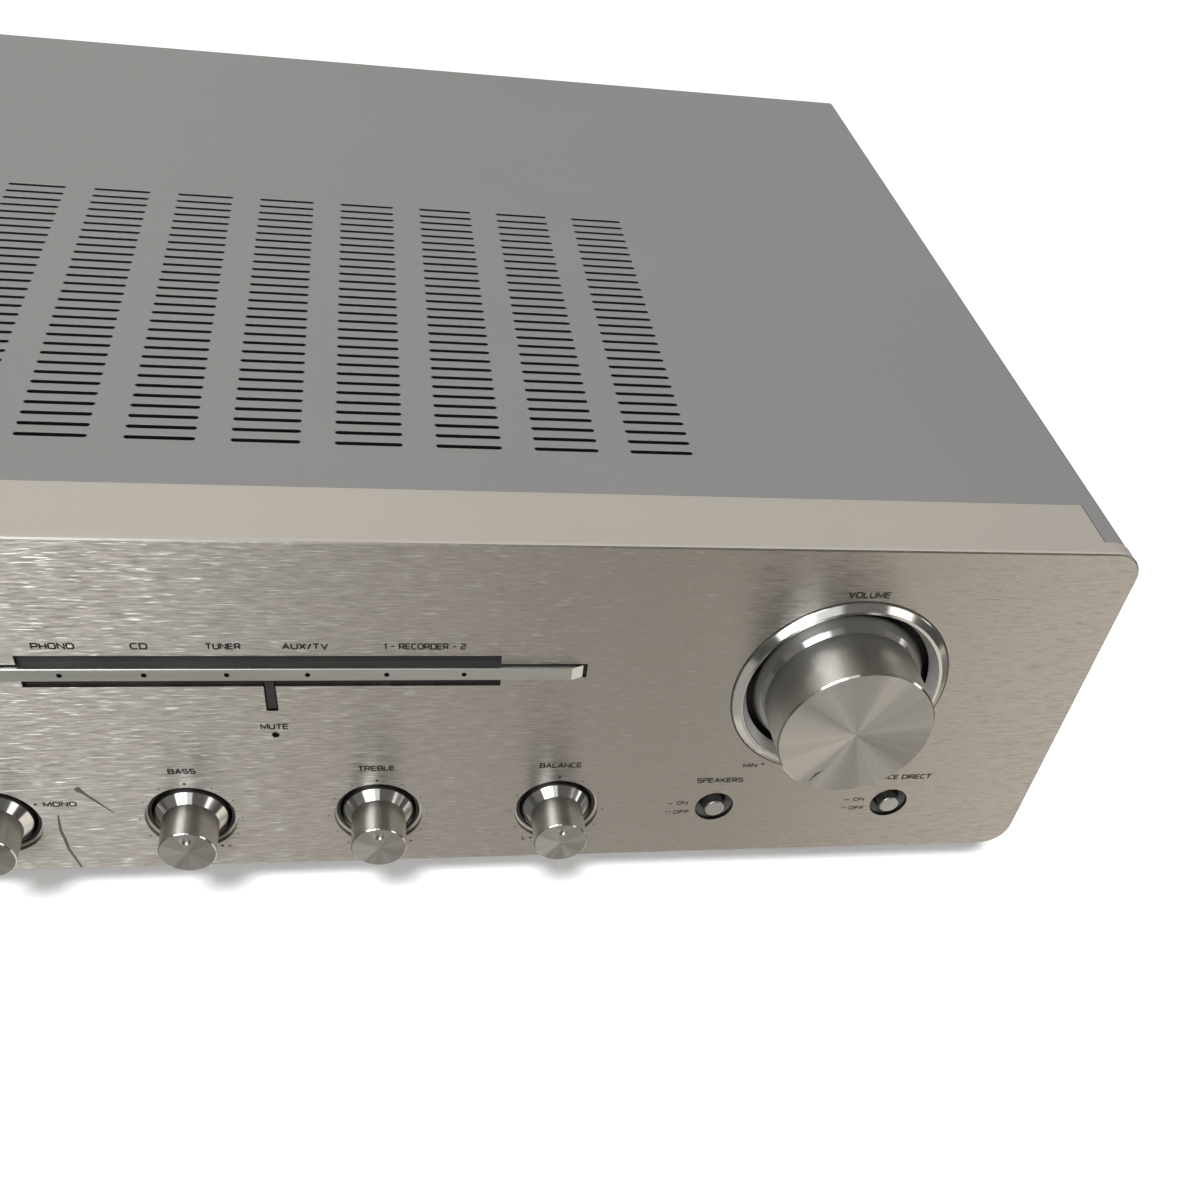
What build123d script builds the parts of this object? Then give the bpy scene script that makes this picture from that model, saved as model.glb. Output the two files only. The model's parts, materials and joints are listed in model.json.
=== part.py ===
from build123d import *
from math import atan, cos, hypot, pi, radians, sin, tan
import os

# Integrated stereo amplifier, in millimetres, +Z up.
# Every piece is drawn in panel coordinates: X to the right seen from the front, Y back from the
# panel's front face, Z up from the panel's bottom edge. save() then moves it into the part's frame,
# whose origin is the centre of the bounding box's bottom face.

# Overall size
PANEL_W = 440.0
PANEL_H = 110.0
PANEL_CORNER = 8.0
FOOT_H = 14.0            # from the table to the panel's bottom edge
KNOB_REACH = 17.5        # volume knob's face in front of the panel
CASE_BACK = 311.2        # rear panel's outer face
TERMINAL_BACK = 332.5    # ends of the speaker terminals
TOTAL_D = KNOB_REACH + TERMINAL_BACK
TO_FRAME = Pos(0, KNOB_REACH - TOTAL_D / 2, FOOT_H)

# Front: aluminium skin, then the painted bezel, then the steel plate that carries the controls
SKIN_T = 1.4
FLANGE_BACK = 5.3
BAND_BACK = 22.0
BAND_HALF_W = 209.9
BAND_WALL = 2.2
PLATE_Y = (10.0, 11.2)

# Case
STEEL = 1.2
TRAY_Z = (1.5, 1.5 + STEEL)
TRAY_HALF_W = 215.2
COVER_T = 1.0
COVER_HALF_W = TRAY_HALF_W + COVER_T
COVER_TOP = 109.9
COVER_BEND_R = 2.0
COVER_GAP = 0.3

# Vents in the top cover
VENT_COLUMNS = 9
VENT_ROWS = 30
VENT_PITCH = (24.67, 4.83)
VENT_SIZE = (16.5, 1.8)
VENT_CENTRE_X = 1.3
VENT_FIRST_Y = 41.6

# Controls on the panel
BIG_X = 148.85
BIG_Z = 64.9
BIG_HOLE_R = 28.5
BIG_R = 21.0
BIG_SKIRT_R = 23.3
NOTCH_RADII = (13.3, 19.4)   # inner and outer ends of a large knob's pointer notch
NOTCH_W = 1.9
NOTCH_DEPTH = 0.6
VOLUME_REST = -152.0         # the volume knob's minimum, clockwise from the top
ROW_Z = 19.9
SMALL_XS = (-75.0, -25.0, 25.0, 75.0)      # mode, bass, treble, balance
SMALL_NAMES = ("mode", "bass", "treble", "balance")
SMALL_TURNS = (-60.0, 0.0, 0.0, 0.0)       # pointers at rest, clockwise from the top
SMALL_HOLE_R = 12.0
SMALL_R = 7.45
SMALL_SKIRT_R = 9.6
SMALL_SKIRT_BACK = 3.6
SMALL_REACH = 12.5
DIMPLE_R = 2.2               # ball that cuts the shallow dimple, and its height over the face
DIMPLE_RISE = 1.6
DIMPLE_AT = 4.6
BUTTON_XS = (-175.7, 121.6, 175.7)         # power, speakers, direct
BUTTON_NAMES = ("power", "speaker", "direct")
BUTTON_HOLE_R = 5.7
BUTTON_R = 3.0
BUTTON_FRONT = -1.0
PHONES_X = -121.6
PHONES_BORE_R = 3.2
PHONES_DEPTH = 32.0
SENSOR_X = -148.85
SENSOR_R = 4.0
SHAFT_R = 3.0
RUNNING = 0.05           # radial clearance of a shaft that turns in its bearing
BUSH_R = 3.5
BUSH_FRONT = 3.6
NUT_Y = (6.6, 9.0)
WELL_FLOOR_Y = (9.0, 10.0)

# Indicator bar across the middle of the panel
BAR_Z = (70.15, 73.95)
BAR_FRONT = -1.3
BAR_FACE_HALF = 75.0
BAR_END_HALF = 78.0
GROOVE_HALF = 57.1
GROOVE_Z = (67.27, 77.09)
NARROW_HALF = 79.1
NARROW_Z = (69.96, 74.4)
STEM_HALF = 1.45
STEM_BOTTOM = 59.1
LAMP_PITCH = 19.1
LAMP_COUNT = 6
LAMP_Z = 72.1
LAMP_HOLE_R = 0.65
LED_R = 1.5
MUTE_Z = 50.8
MUTE_HOLE_R = 0.95

# Volume drive: gear on the shaft, pinion on the motor
GEAR_MODULE = 0.5
GEAR_TEETH = 48
PINION_TEETH = 16
GEAR_CLEARANCE = 0.08
PRESSURE_ANGLE = radians(20)
GEAR_Y = (37.0, 40.0)
POT_BACK = 35.2
PINION_SPREAD = GEAR_MODULE * (GEAR_TEETH + PINION_TEETH) / 2 + GEAR_CLEARANCE
PINION_AT = (BIG_X - PINION_SPREAD, BIG_Z)
DRIVE_PLATE_Y = (40.6, 41.8)
MOTOR_R = 12.0
MOTOR_BACK = 66.0
PINION_SHAFT_R = 1.0

# Inside
BOARD_Z = (9.0, 10.6)
BOARD_X = (-92.0, 205.0)
BOARD_Y = (70.0, 288.0)
TONE_BOARD_Z = (8.0, 9.6)
CORE_AT = (-152.0, 105.0)
CORE_SIZE = (90.0, 45.0, 75.0)
SINK_X = (-70.0, 92.0)
SINK_BASE_Y = (150.0, 156.0)
SINK_FIN_BACK = 192.0
SINK_TOP = 92.0
TRANSISTOR_XS = (-48.0, -10.0, 32.0, 70.0)
CAPACITOR_XS = (124.0, 166.0)
CAPACITOR_Y = 160.0

# Rear connectors
JACK_XS = [38.0 + 20.0 * i for i in range(8)]
JACK_ZS = (46.0, 64.0)
JACK_FLANGE_BACK = CASE_BACK + 1.0
JACK_SHELL_R = 4.15
JACK_BORE_R = 1.62
JACK_BACK = 321.0
POST_XS = (-62.0, -43.0, -17.0, 2.0)
POST_NAMES = ("left_minus", "left_plus", "right_minus", "right_plus")
POST_Z = 42.0
POST_R = 3.0
BANANA_R = 2.0
BANANA_DEPTH = 16.0
CAP_Y = (318.2, TERMINAL_BACK)
CAP_R = 6.2
GROUND_AT = (197.0, 55.0)
GROUND_STUD_R = 2.0
GROUND_BACK = 323.0
INLET_AT = (-168.0, 34.0)
INLET_CAVITY = (24.6, 17.0)
INLET_FRONT = CASE_BACK + 2.5
INLET_FLOOR = 298.0

# Case screws
SIDE_SCREWS = ((72.0, 10.0), (262.0, 10.0))     # (y, z) on each side
COVER_SCREW_XS = (-185.0, 20.0, 185.0)
COVER_SCREW_Z = 104.2
BACK_SCREW_XS = (-200.0, -90.0, 20.0, 200.0)
BACK_SCREW_Z = 8.5
INLET_SCREW_XS = (INLET_AT[0] - 20.0, INLET_AT[0] + 20.0)

# Feet
FOOT_XS = (-165.0, 165.0)
FOOT_YS = (42.0, 268.0)
FOOT_R = 24.0
PAD_T = 2.0


def save(node, *solids):
    """Writes one node, moved from panel coordinates into the part's frame."""
    pieces = [solid for shape in solids for solid in shape.solids()]
    shape = pieces[0] if len(pieces) == 1 else Compound(children=pieces)
    moved = TO_FRAME * shape
    moved.label = node
    export_step(moved, f"parts/{node}.step")


def block(x, y, z):
    """A box between a low and a high value on each axis."""
    middle = [(low + high) / 2 for low, high in (x, y, z)]
    size = [high - low for low, high in (x, y, z)]
    return Pos(*middle) * Box(*size)


def rod_y(x, z, radius, y):
    """A round bar along Y."""
    return Pos(x, (y[0] + y[1]) / 2, z) * Rot(90, 0, 0) * Cylinder(radius, y[1] - y[0])


def rod_z(x, y, radius, z):
    """A round bar along Z."""
    return Pos(x, y, (z[0] + z[1]) / 2) * Cylinder(radius, z[1] - z[0])


def rod_x(y, z, radius, x):
    """A round bar along X."""
    return Pos((x[0] + x[1]) / 2, y, z) * Rot(0, 90, 0) * Cylinder(radius, x[1] - x[0])


def upright(sketch, y):
    """A sketch drawn in X and Z, as a plate between two values of Y."""
    return extrude(Plane.XZ.offset(-y[0]) * sketch, amount=-(y[1] - y[0]))


def turned(profile, x, z):
    """A turned piece about an axis along Y; the profile is a closed list of (radius, y)."""
    face = make_face(Polyline(*profile, close=True))
    return Pos(x, 0, z) * revolve(face, Axis.Y)


def window(x, z):
    """A rectangle in X and Z between low and high values, for cutting a plate."""
    return Pos((x[0] + x[1]) / 2, (z[0] + z[1]) / 2) * Rectangle(x[1] - x[0], z[1] - z[0])


def holes(places, radius):
    """Equal round holes at (x, z) places, as one sketch."""
    return Sketch() + [Pos(x, z) * Circle(radius) for x, z in places]


def panel_outline():
    """The front panel's outline, its bottom edge at Z = 0."""
    return Pos(0, PANEL_H / 2) * RectangleRounded(PANEL_W, PANEL_H, PANEL_CORNER)


def lamp_places():
    """The source lamps' places along the bar."""
    first = -LAMP_PITCH * (LAMP_COUNT - 1) / 2
    return [(first + LAMP_PITCH * i, LAMP_Z) for i in range(LAMP_COUNT)]


def big_places():
    return [(-BIG_X, BIG_Z), (BIG_X, BIG_Z)]


def small_places():
    return [(x, ROW_Z) for x in SMALL_XS]


def button_places():
    return [(x, ROW_Z) for x in BUTTON_XS]


# ---------------------------------------------------------------- front

def front_panel():
    """Brushed aluminium skin with its holes and the stepped slot for the indicator bar."""
    sketch = panel_outline()
    sketch -= window((-GROOVE_HALF, GROOVE_HALF), GROOVE_Z)
    sketch -= window((-NARROW_HALF, NARROW_HALF), NARROW_Z)
    sketch -= window((-STEM_HALF, STEM_HALF), (STEM_BOTTOM, GROOVE_Z[1]))
    sketch -= holes([(0, MUTE_Z)], MUTE_HOLE_R)
    sketch -= holes(big_places(), BIG_HOLE_R)
    sketch -= holes(small_places(), SMALL_HOLE_R)
    sketch -= holes(button_places() + [(PHONES_X, ROW_Z)], BUTTON_HOLE_R)
    sketch -= holes([(SENSOR_X, ROW_Z)], SENSOR_R + 0.1)
    skin = upright(sketch, (0, SKIN_T))
    rim = skin.faces().sort_by(Axis.Y)[0].outer_wire().edges()
    return chamfer(rim, 0.35)


def front_bezel():
    """Painted bezel behind the skin: a flange with the same outline and a box rim that runs back."""
    flange = panel_outline()
    flange -= window((-82.2, 82.2), (56.8, 80.2))
    flange -= window((-6.2, 6.2), (46.8, 60))
    flange -= holes(big_places(), BIG_HOLE_R)
    flange -= holes(small_places(), 11.4)
    flange -= holes(button_places(), 6.5)
    flange -= holes([(PHONES_X, ROW_Z)], BUTTON_HOLE_R)
    flange -= holes([(SENSOR_X, ROW_Z)], SENSOR_R + 0.1)
    bottom = TRAY_Z[1]
    outer = window((-BAND_HALF_W, BAND_HALF_W), (bottom, COVER_TOP))
    inner = window(
        (-BAND_HALF_W + BAND_WALL, BAND_HALF_W - BAND_WALL),
        (bottom + BAND_WALL, COVER_TOP - BAND_WALL),
    )
    plate = upright(flange, (SKIN_T, FLANGE_BACK))
    rim = upright(outer - inner, (FLANGE_BACK, BAND_BACK))
    return plate + rim


def inner_front_plate():
    """Steel plate inside the bezel's rim that carries the controls."""
    half = BAND_HALF_W - BAND_WALL
    sketch = window((-half, half), (TRAY_Z[1] + BAND_WALL, COVER_TOP - BAND_WALL))
    sketch -= holes(big_places() + small_places(), BUSH_R + 0.1)
    sketch -= holes(button_places() + [(PHONES_X, ROW_Z)], BUTTON_HOLE_R)
    sketch -= holes([(SENSOR_X, ROW_Z)], SENSOR_R)
    return upright(sketch, PLATE_Y)


def knob_well(x, z, radius, front, wall=0.8):
    """Black cup behind a knob, clamped to the plate by the control's nut."""
    profile = [
        (radius, front),
        (radius, WELL_FLOOR_Y[1]),
        (BUSH_R + 0.1, WELL_FLOOR_Y[1]),
        (BUSH_R + 0.1, WELL_FLOOR_Y[0]),
        (radius - wall, WELL_FLOOR_Y[0]),
        (radius - wall, front),
    ]
    return turned(profile, x, z)


def knob_wells():
    wells = [knob_well(x, z, 11.3, 1.9) for x, z in small_places()]
    wells += [knob_well(x, z, 28.4, 2.5) for x, z in big_places()]
    return wells


def knob_rings():
    """Turned trim rings round the two large knobs: bevel, lip and funnel."""
    profile = [
        (29.8, 0.0),
        (29.5, -0.35),
        (27.7, -1.5),
        (26.9, -1.5),
        (25.2, 2.5),
        (28.4, 2.5),
        (28.4, 0.0),
    ]
    return [turned(profile, x, z) for x, z in big_places()]


def indicator_channel():
    """Black moulding behind the stepped slot, with lamp holes and a rib in the stem of the slot."""
    sketch = window((-82.0, 82.0), (57.0, 80.0))
    sketch += window((-6.0, 6.0), (47.0, 57.5))
    body = upright(sketch, (SKIN_T, FLANGE_BACK))
    rib_half = STEM_HALF - 0.35
    body += block((-rib_half, rib_half), (0.5, SKIN_T), (STEM_BOTTOM + 0.4, BAR_Z[0] - 0.2))
    lamps = holes(lamp_places() + [(0, MUTE_Z)], LAMP_HOLE_R)
    seats = holes(lamp_places() + [(0, MUTE_Z)], LED_R + 0.05)
    body -= upright(lamps, (0, FLANGE_BACK))
    body -= upright(seats, (3.4, FLANGE_BACK))
    return body


def indicator_bar():
    """Satin bar in the slot, standing proud of the panel, with bevelled ends and six lamp holes."""
    back = SKIN_T
    outline = Polyline(
        (-BAR_FACE_HALF, BAR_FRONT),
        (BAR_FACE_HALF, BAR_FRONT),
        (BAR_END_HALF, 0),
        (BAR_END_HALF, back),
        (-BAR_END_HALF, back),
        (-BAR_END_HALF, 0),
        close=True,
    )
    bar = extrude(Plane.XY.offset(BAR_Z[0]) * make_face(outline), amount=BAR_Z[1] - BAR_Z[0])
    front = bar.faces().sort_by(Axis.Y)[0]
    bar = chamfer(front.edges().filter_by(Axis.X), 0.2)
    return bar - upright(holes(lamp_places(), LAMP_HOLE_R), (BAR_FRONT - 1, back + 1))


def led(x, z):
    """A 3 mm lamp facing forwards, its collar against the board."""
    profile = [(0, 4.2), (0.9, 4.45), (LED_R, 5.2), (LED_R, 7.4), (1.9, 7.4), (1.9, 8.4), (0, 8.4)]
    return turned(profile, x, z)


def indicator_board():
    """Circuit board with the six source lamps and the mute lamp."""
    board = upright(window((-86, 86), (45, 83)), (8.4, PLATE_Y[0]))
    return [board] + [led(x, z) for x, z in lamp_places() + [(0, MUTE_Z)]]


def button_bezel(x):
    """Funnel round a push button."""
    profile = [(5.5, 1.45), (6.4, 1.45), (6.4, 7.0), (4.0, 7.0), (4.0, 2.9)]
    return turned(profile, x, ROW_Z)


def remote_sensor():
    """Dark window with the infrared receiver behind it."""
    window_piece = rod_y(SENSOR_X, ROW_Z, SENSOR_R, (0.3, 7.0))
    return window_piece + block((SENSOR_X - 3, SENSOR_X + 3), (7.0, 10.0), (ROW_Z - 2.8, ROW_Z + 2.8))


def headphone_jack():
    """Quarter-inch socket: bushing through the panel, insulated body behind the plate."""
    body = block((PHONES_X - 7, PHONES_X + 7), (PLATE_Y[1], PHONES_DEPTH + 3), (ROW_Z - 8, ROW_Z + 8))
    bushing = rod_y(PHONES_X, ROW_Z, BUTTON_HOLE_R - 0.1, (0.2, PLATE_Y[1]))
    bushing = chamfer(bushing.faces().sort_by(Axis.Y)[0].edges(), 0.4)
    bore = rod_y(PHONES_X, ROW_Z, PHONES_BORE_R, (-1, PHONES_DEPTH))
    return body + bushing - bore


# ---------------------------------------------------------------- knobs, shafts and buttons

def big_knob(x, pointer):
    """Large turned aluminium knob: straight body, bright cone and flared skirt, hollow behind."""
    face = -KNOB_REACH
    profile = [
        (0, face),
        (BIG_R - 0.4, face),
        (BIG_R, face + 0.4),
        (BIG_R, -1.4),
        (BIG_SKIRT_R - 1.2, -0.2),
        (BIG_SKIRT_R, 2.5),
        (BIG_SKIRT_R, 3.1),
        (18.0, 3.1),
        (18.0, -11.0),
        (7.5, -11.0),
        (7.5, 3.2),
        (SHAFT_R, 3.2),
        (SHAFT_R, -12.0),
        (0, -12.0),
    ]
    return turned(profile, x, BIG_Z) - pointer_notch(x, pointer)


def pointer_notch(x, angle):
    """Tapered cut in a knob's face, sharp and deep near the rim, wide and shallow inwards."""
    face = -KNOB_REACH
    inner, outer = NOTCH_RADII
    plan = Polyline((0, outer), (-NOTCH_W / 2, inner), (NOTCH_W / 2, inner), close=True)
    side = Polyline(
        (face - 1, inner),
        (face, inner),
        (face + NOTCH_DEPTH, outer - 0.4),
        (face + NOTCH_DEPTH, outer),
        (face - 1, outer),
        close=True,
    )
    wedge = upright(make_face(plan), (face - 1, face + 1))
    ramp = extrude(Plane.YZ * make_face(side), amount=NOTCH_W, both=True)
    return Pos(x, 0, BIG_Z) * Rot(0, angle, 0) * (wedge & ramp)


def small_knob(x, turn=0.0):
    """Small turned knob: straight body, coned skirt, and a dimple turned clockwise from the top."""
    face = -SMALL_REACH
    profile = [
        (0, face),
        (SMALL_R - 0.25, face),
        (SMALL_R, face + 0.25),
        (SMALL_R, -1.75),
        (SMALL_SKIRT_R, 0.55),
        (SMALL_SKIRT_R, SMALL_SKIRT_BACK),
        (SMALL_SKIRT_R - 0.9, SMALL_SKIRT_BACK),
        (SMALL_SKIRT_R - 0.9, 1.2),
        (5.2, 1.2),
        (5.2, 2.6),
        (SHAFT_R, 2.6),
        (SHAFT_R, -8.0),
        (0, -8.0),
    ]
    dimple = Pos(0, face - DIMPLE_RISE, DIMPLE_AT) * Sphere(DIMPLE_R)
    return turned(profile, x, ROW_Z) - Pos(x, 0, ROW_Z) * Rot(0, turn, 0) * dimple


def shaft(x, z, front, back):
    """Control shaft with a flat near its front end."""
    return rod_y(x, z, SHAFT_R, (front, back))


def control_nut(x, z):
    """Hexagon nut and threaded bushing of a control, on the front of the plate."""
    nut = upright(Pos(x, z) * RegularPolygon(5.0, 6, major_radius=False), NUT_Y)
    bushing = rod_y(x, z, BUSH_R, (BUSH_FRONT, PLATE_Y[1]))
    return nut + bushing


def tone_pot(x):
    """Rotary control: bushing, body and three terminals down to the board."""
    body = block((x - 8.5, x + 8.5), (PLATE_Y[1], 21.0), (ROW_Z - 9, ROW_Z + 8.5))
    pot = control_nut(x, ROW_Z) + body
    for step in (-5, 0, 5):
        leg = block((x + step - 0.5, x + step + 0.5), (16, 16.5), (TONE_BOARD_Z[1], ROW_Z - 9))
        pot += leg
    return pot - rod_y(x, ROW_Z, SHAFT_R + RUNNING, (0, 19.0))


def volume_pot():
    """Square double control with a hole right through for the driven shaft."""
    body = block((BIG_X - 13.5, BIG_X + 13.5), (PLATE_Y[1], POT_BACK), (BIG_Z - 13.5, BIG_Z + 13.5))
    pot = control_nut(BIG_X, BIG_Z) + chamfer(body.edges().filter_by(Axis.Y), 1.5)
    return pot - rod_y(BIG_X, BIG_Z, SHAFT_R + RUNNING, (0, POT_BACK + 1))


def selector_switch():
    """Round wafer switch of the input selector with its detent housing."""
    body = rod_y(-BIG_X, BIG_Z, 16.0, (PLATE_Y[1], 20.0))
    wafer = rod_y(-BIG_X, BIG_Z, 19.0, (22.5, 24.0)) + rod_y(-BIG_X, BIG_Z, 8.0, (20.0, 22.5))
    switch = control_nut(-BIG_X, BIG_Z) + body + wafer
    return switch - rod_y(-BIG_X, BIG_Z, SHAFT_R + RUNNING, (0, 22.0))


def involute(base, angle):
    """A point of the involute of a circle, unrolled by an angle."""
    return (base * (cos(angle) + angle * sin(angle)), base * (sin(angle) - angle * cos(angle)))


def gear_outline(teeth, turn=0.0, steps=5):
    """Involute spur gear outline, with a tooth centred on the X axis when turn is 0."""
    pitch = GEAR_MODULE * teeth / 2
    base = pitch * cos(PRESSURE_ANGLE)
    tip = pitch + 0.9 * GEAR_MODULE
    root = pitch - 1.25 * GEAR_MODULE
    half_tooth = pi / (2 * teeth) - GEAR_CLEARANCE / (2 * pitch) + tan(PRESSURE_ANGLE) - PRESSURE_ANGLE
    last = ((tip / base) ** 2 - 1) ** 0.5
    flank = []
    for i in range(steps + 1):
        x, y = involute(base, last * i / steps)
        flank.append((hypot(x, y), last * i / steps))
    points = []
    for tooth in range(teeth):
        middle = turn + 2 * pi * tooth / teeth
        rising = [(r, middle - half_tooth + a - atan(a)) for r, a in flank]
        falling = [(r, 2 * middle - angle) for r, angle in reversed(rising)]
        start = [(min(root, base - 0.01), rising[0][1])]
        end = [(min(root, base - 0.01), falling[-1][1])]
        points += start + rising + falling + end
    return make_face(Polyline(*[(r * cos(a), r * sin(a)) for r, a in points], close=True))


def volume_gear():
    """Gear pressed on the volume shaft."""
    teeth = Pos(BIG_X, BIG_Z) * gear_outline(GEAR_TEETH)
    hub = rod_y(BIG_X, BIG_Z, 6.0, (POT_BACK + 0.4, GEAR_Y[0]))
    gear = upright(teeth, GEAR_Y) + hub
    return gear - rod_y(BIG_X, BIG_Z, SHAFT_R, (POT_BACK, GEAR_Y[1] + 1))


def motor_pinion():
    """Pinion on the motor's shaft; one of its gaps faces the gear."""
    x, z = PINION_AT
    teeth = Pos(x, z) * gear_outline(PINION_TEETH, turn=pi / PINION_TEETH)
    pinion = upright(teeth, (GEAR_Y[0] - 0.5, GEAR_Y[1] + 0.2))
    return pinion + rod_y(x, z, PINION_SHAFT_R, (GEAR_Y[1], 52.0))


def volume_motor():
    """Motor that turns the volume shaft, on its plate behind the control."""
    x, z = PINION_AT
    plate = block((x - MOTOR_R, BIG_X + 13), DRIVE_PLATE_Y, (z - 12.5, z + 12.5))
    plate -= rod_y(BIG_X, BIG_Z, SHAFT_R + RUNNING, (40, 42))
    can = rod_y(x, z, MOTOR_R, (DRIVE_PLATE_Y[1], MOTOR_BACK))
    can = chamfer(can.faces().sort_by(Axis.Y)[-1].edges(), 1.0)
    boss = rod_y(x, z, 4.0, (MOTOR_BACK, MOTOR_BACK + 2))
    drive = plate + can + boss
    for sign in (-1, 1):
        drive += rod_y(BIG_X + 11.0, BIG_Z + sign * 10.8, 1.5, (POT_BACK, DRIVE_PLATE_Y[0]))
    return drive - rod_y(x, z, PINION_SHAFT_R + RUNNING, (40, 53.0))


def push_button(x):
    """Round cap with a square plunger into its switch."""
    cap = rod_y(x, ROW_Z, BUTTON_R, (BUTTON_FRONT, 9.0))
    cap = fillet(cap.faces().sort_by(Axis.Y)[0].edges(), 0.45)
    plunger = block((x - 1.5, x + 1.5), (9.0, 24.0), (ROW_Z - 1.5, ROW_Z + 1.5))
    return cap + plunger


def push_switch(x):
    """Latching push switch, open at its front for the plunger."""
    slack = 1.5 + 0.15
    body = block((x - 5, x + 5), (16.5, 34.0), (TONE_BOARD_Z[1], ROW_Z + 5))
    return body - block((x - slack, x + slack), (16, 30.0), (ROW_Z - slack, ROW_Z + slack))


# ---------------------------------------------------------------- case

def vent_slots():
    """The grid of slots in the top cover."""
    slots = []
    for column in range(VENT_COLUMNS):
        x = VENT_CENTRE_X + (column - (VENT_COLUMNS - 1) / 2) * VENT_PITCH[0]
        for row in range(VENT_ROWS):
            y = VENT_FIRST_Y + row * VENT_PITCH[1]
            slots.append(Pos(x, y) * SlotOverall(*VENT_SIZE))
    return extrude(Plane.XY.offset(COVER_TOP - 2) * (Sketch() + slots), amount=4)


def top_cover():
    """Painted steel wrapper: top, both sides and a short flange down the back."""
    outer = Pos(0, (COVER_TOP + TRAY_Z[0]) / 2) * Rectangle(2 * COVER_HALF_W, COVER_TOP - TRAY_Z[0])
    outer = fillet(outer.vertices().group_by(Axis.Y)[-1], COVER_BEND_R)
    hollow_top = COVER_TOP - COVER_T
    hollow = Pos(0, (hollow_top - 10) / 2) * Rectangle(2 * TRAY_HALF_W, hollow_top + 10)
    hollow = fillet(hollow.vertices().group_by(Axis.Y)[-1], COVER_BEND_R - COVER_T)
    cover = upright(outer - hollow, (FLANGE_BACK + 0.1, CASE_BACK + COVER_T))
    cover += block((-TRAY_HALF_W, TRAY_HALF_W), (CASE_BACK, CASE_BACK + COVER_T), (99.5, hollow_top))
    notch_half = BAND_HALF_W + COVER_GAP
    cover -= block((-notch_half, notch_half), (0, BAND_BACK + COVER_GAP), (hollow_top - 2, COVER_TOP + 1))
    cover -= vent_slots()
    for y, z in SIDE_SCREWS:
        cover -= rod_x(y, z, 2.2, (-COVER_HALF_W - 1, COVER_HALF_W + 1))
    for x in COVER_SCREW_XS:
        cover -= rod_y(x, COVER_SCREW_Z, 1.7, (CASE_BACK - 1, CASE_BACK + 3))
    return cover


def chassis_tray():
    """Steel bottom with upturned sides and back, floor vents and screw holes."""
    tray = block((-TRAY_HALF_W, TRAY_HALF_W), (FLANGE_BACK + 0.1, CASE_BACK - STEEL), TRAY_Z)
    for sign in (-1, 1):
        wall = sorted((sign * TRAY_HALF_W, sign * (TRAY_HALF_W - STEEL)))
        side = block(wall, (26.0, CASE_BACK - STEEL), (TRAY_Z[1], 17.0))
        for y, z in SIDE_SCREWS:
            side -= rod_x(y, z, 2.0, (wall[0] - 1, wall[1] + 1))
        tray += side
    inner_half = TRAY_HALF_W - STEEL
    back = block((-inner_half, inner_half), (CASE_BACK - 2 * STEEL, CASE_BACK - STEEL), (TRAY_Z[1], 13.0))
    for x in BACK_SCREW_XS:
        back -= rod_y(x, BACK_SCREW_Z, 1.5, (CASE_BACK - 4, CASE_BACK))
    tray += back
    slots = [
        Pos(x, y) * SlotOverall(22, 3)
        for x in (-70, -35, 0, 35, 70)
        for y in range(100, 241, 10)
    ]
    tray -= extrude(Plane.XY * (Sketch() + slots), amount=4)
    for x in FOOT_XS:
        for y in FOOT_YS:
            tray -= rod_z(x, y, 2.0, (0, 4))
    return tray


def rear_panel():
    """Steel back with its connector cut-outs."""
    half = TRAY_HALF_W - 0.1
    sketch = window((-half, half), (TRAY_Z[0], COVER_TOP - COVER_T))
    sketch = fillet(sketch.vertices().group_by(Axis.Y)[-1], COVER_BEND_R - COVER_T + 0.1)
    sketch -= holes([(x, z) for x in JACK_XS for z in JACK_ZS], 6.1)
    sketch -= window((POST_XS[0] - 8, POST_XS[-1] + 8), (POST_Z - 8, POST_Z + 8))
    sketch -= holes([GROUND_AT], 3.2)
    sketch -= window(
        (INLET_AT[0] - 14.2, INLET_AT[0] + 14.2),
        (INLET_AT[1] - 10.4, INLET_AT[1] + 10.4),
    )
    sketch -= holes([(x, COVER_SCREW_Z) for x in COVER_SCREW_XS], 1.5)
    sketch -= holes([(x, BACK_SCREW_Z) for x in BACK_SCREW_XS], 1.7)
    sketch -= holes([(x, INLET_AT[1]) for x in INLET_SCREW_XS], 1.7)
    return upright(sketch, (CASE_BACK - STEEL, CASE_BACK))


def pan_head(radius, height):
    """Cross-recess pan head that stands on Z = 0."""
    head = Pos(0, 0, height / 2) * Cylinder(radius, height)
    head = fillet(head.faces().sort_by(Axis.Z)[-1].edges(), height * 0.45)
    recess = block((-radius * 0.5, radius * 0.5), (-0.35, 0.35), (height * 0.45, height + 1))
    return head - recess - Rot(0, 0, 90) * recess


def pan_screw(radius, head_r, head_h, length):
    """Cross-recess pan-head screw along +Z, its head above Z = 0."""
    return pan_head(head_r, head_h) + Pos(0, 0, -length / 2) * Cylinder(radius, length)


def case_screws():
    """Screws of the cover, the rear panel and the mains inlet."""
    screws = []
    for y, z in SIDE_SCREWS:
        screws.append(Pos(COVER_HALF_W, y, z) * Rot(0, 90, 0) * pan_screw(1.95, 3.9, 2.3, 8))
        screws.append(Pos(-COVER_HALF_W, y, z) * Rot(0, -90, 0) * pan_screw(1.95, 3.9, 2.3, 8))
    small = Rot(-90, 0, 0) * pan_screw(1.45, 2.9, 1.9, 6)
    for x in COVER_SCREW_XS:
        screws.append(Pos(x, CASE_BACK + COVER_T, COVER_SCREW_Z) * small)
    for x in BACK_SCREW_XS:
        screws.append(Pos(x, CASE_BACK, BACK_SCREW_Z) * small)
    for x in INLET_SCREW_XS:
        screws.append(Pos(x, INLET_FRONT, INLET_AT[1]) * small)
    return screws


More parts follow.
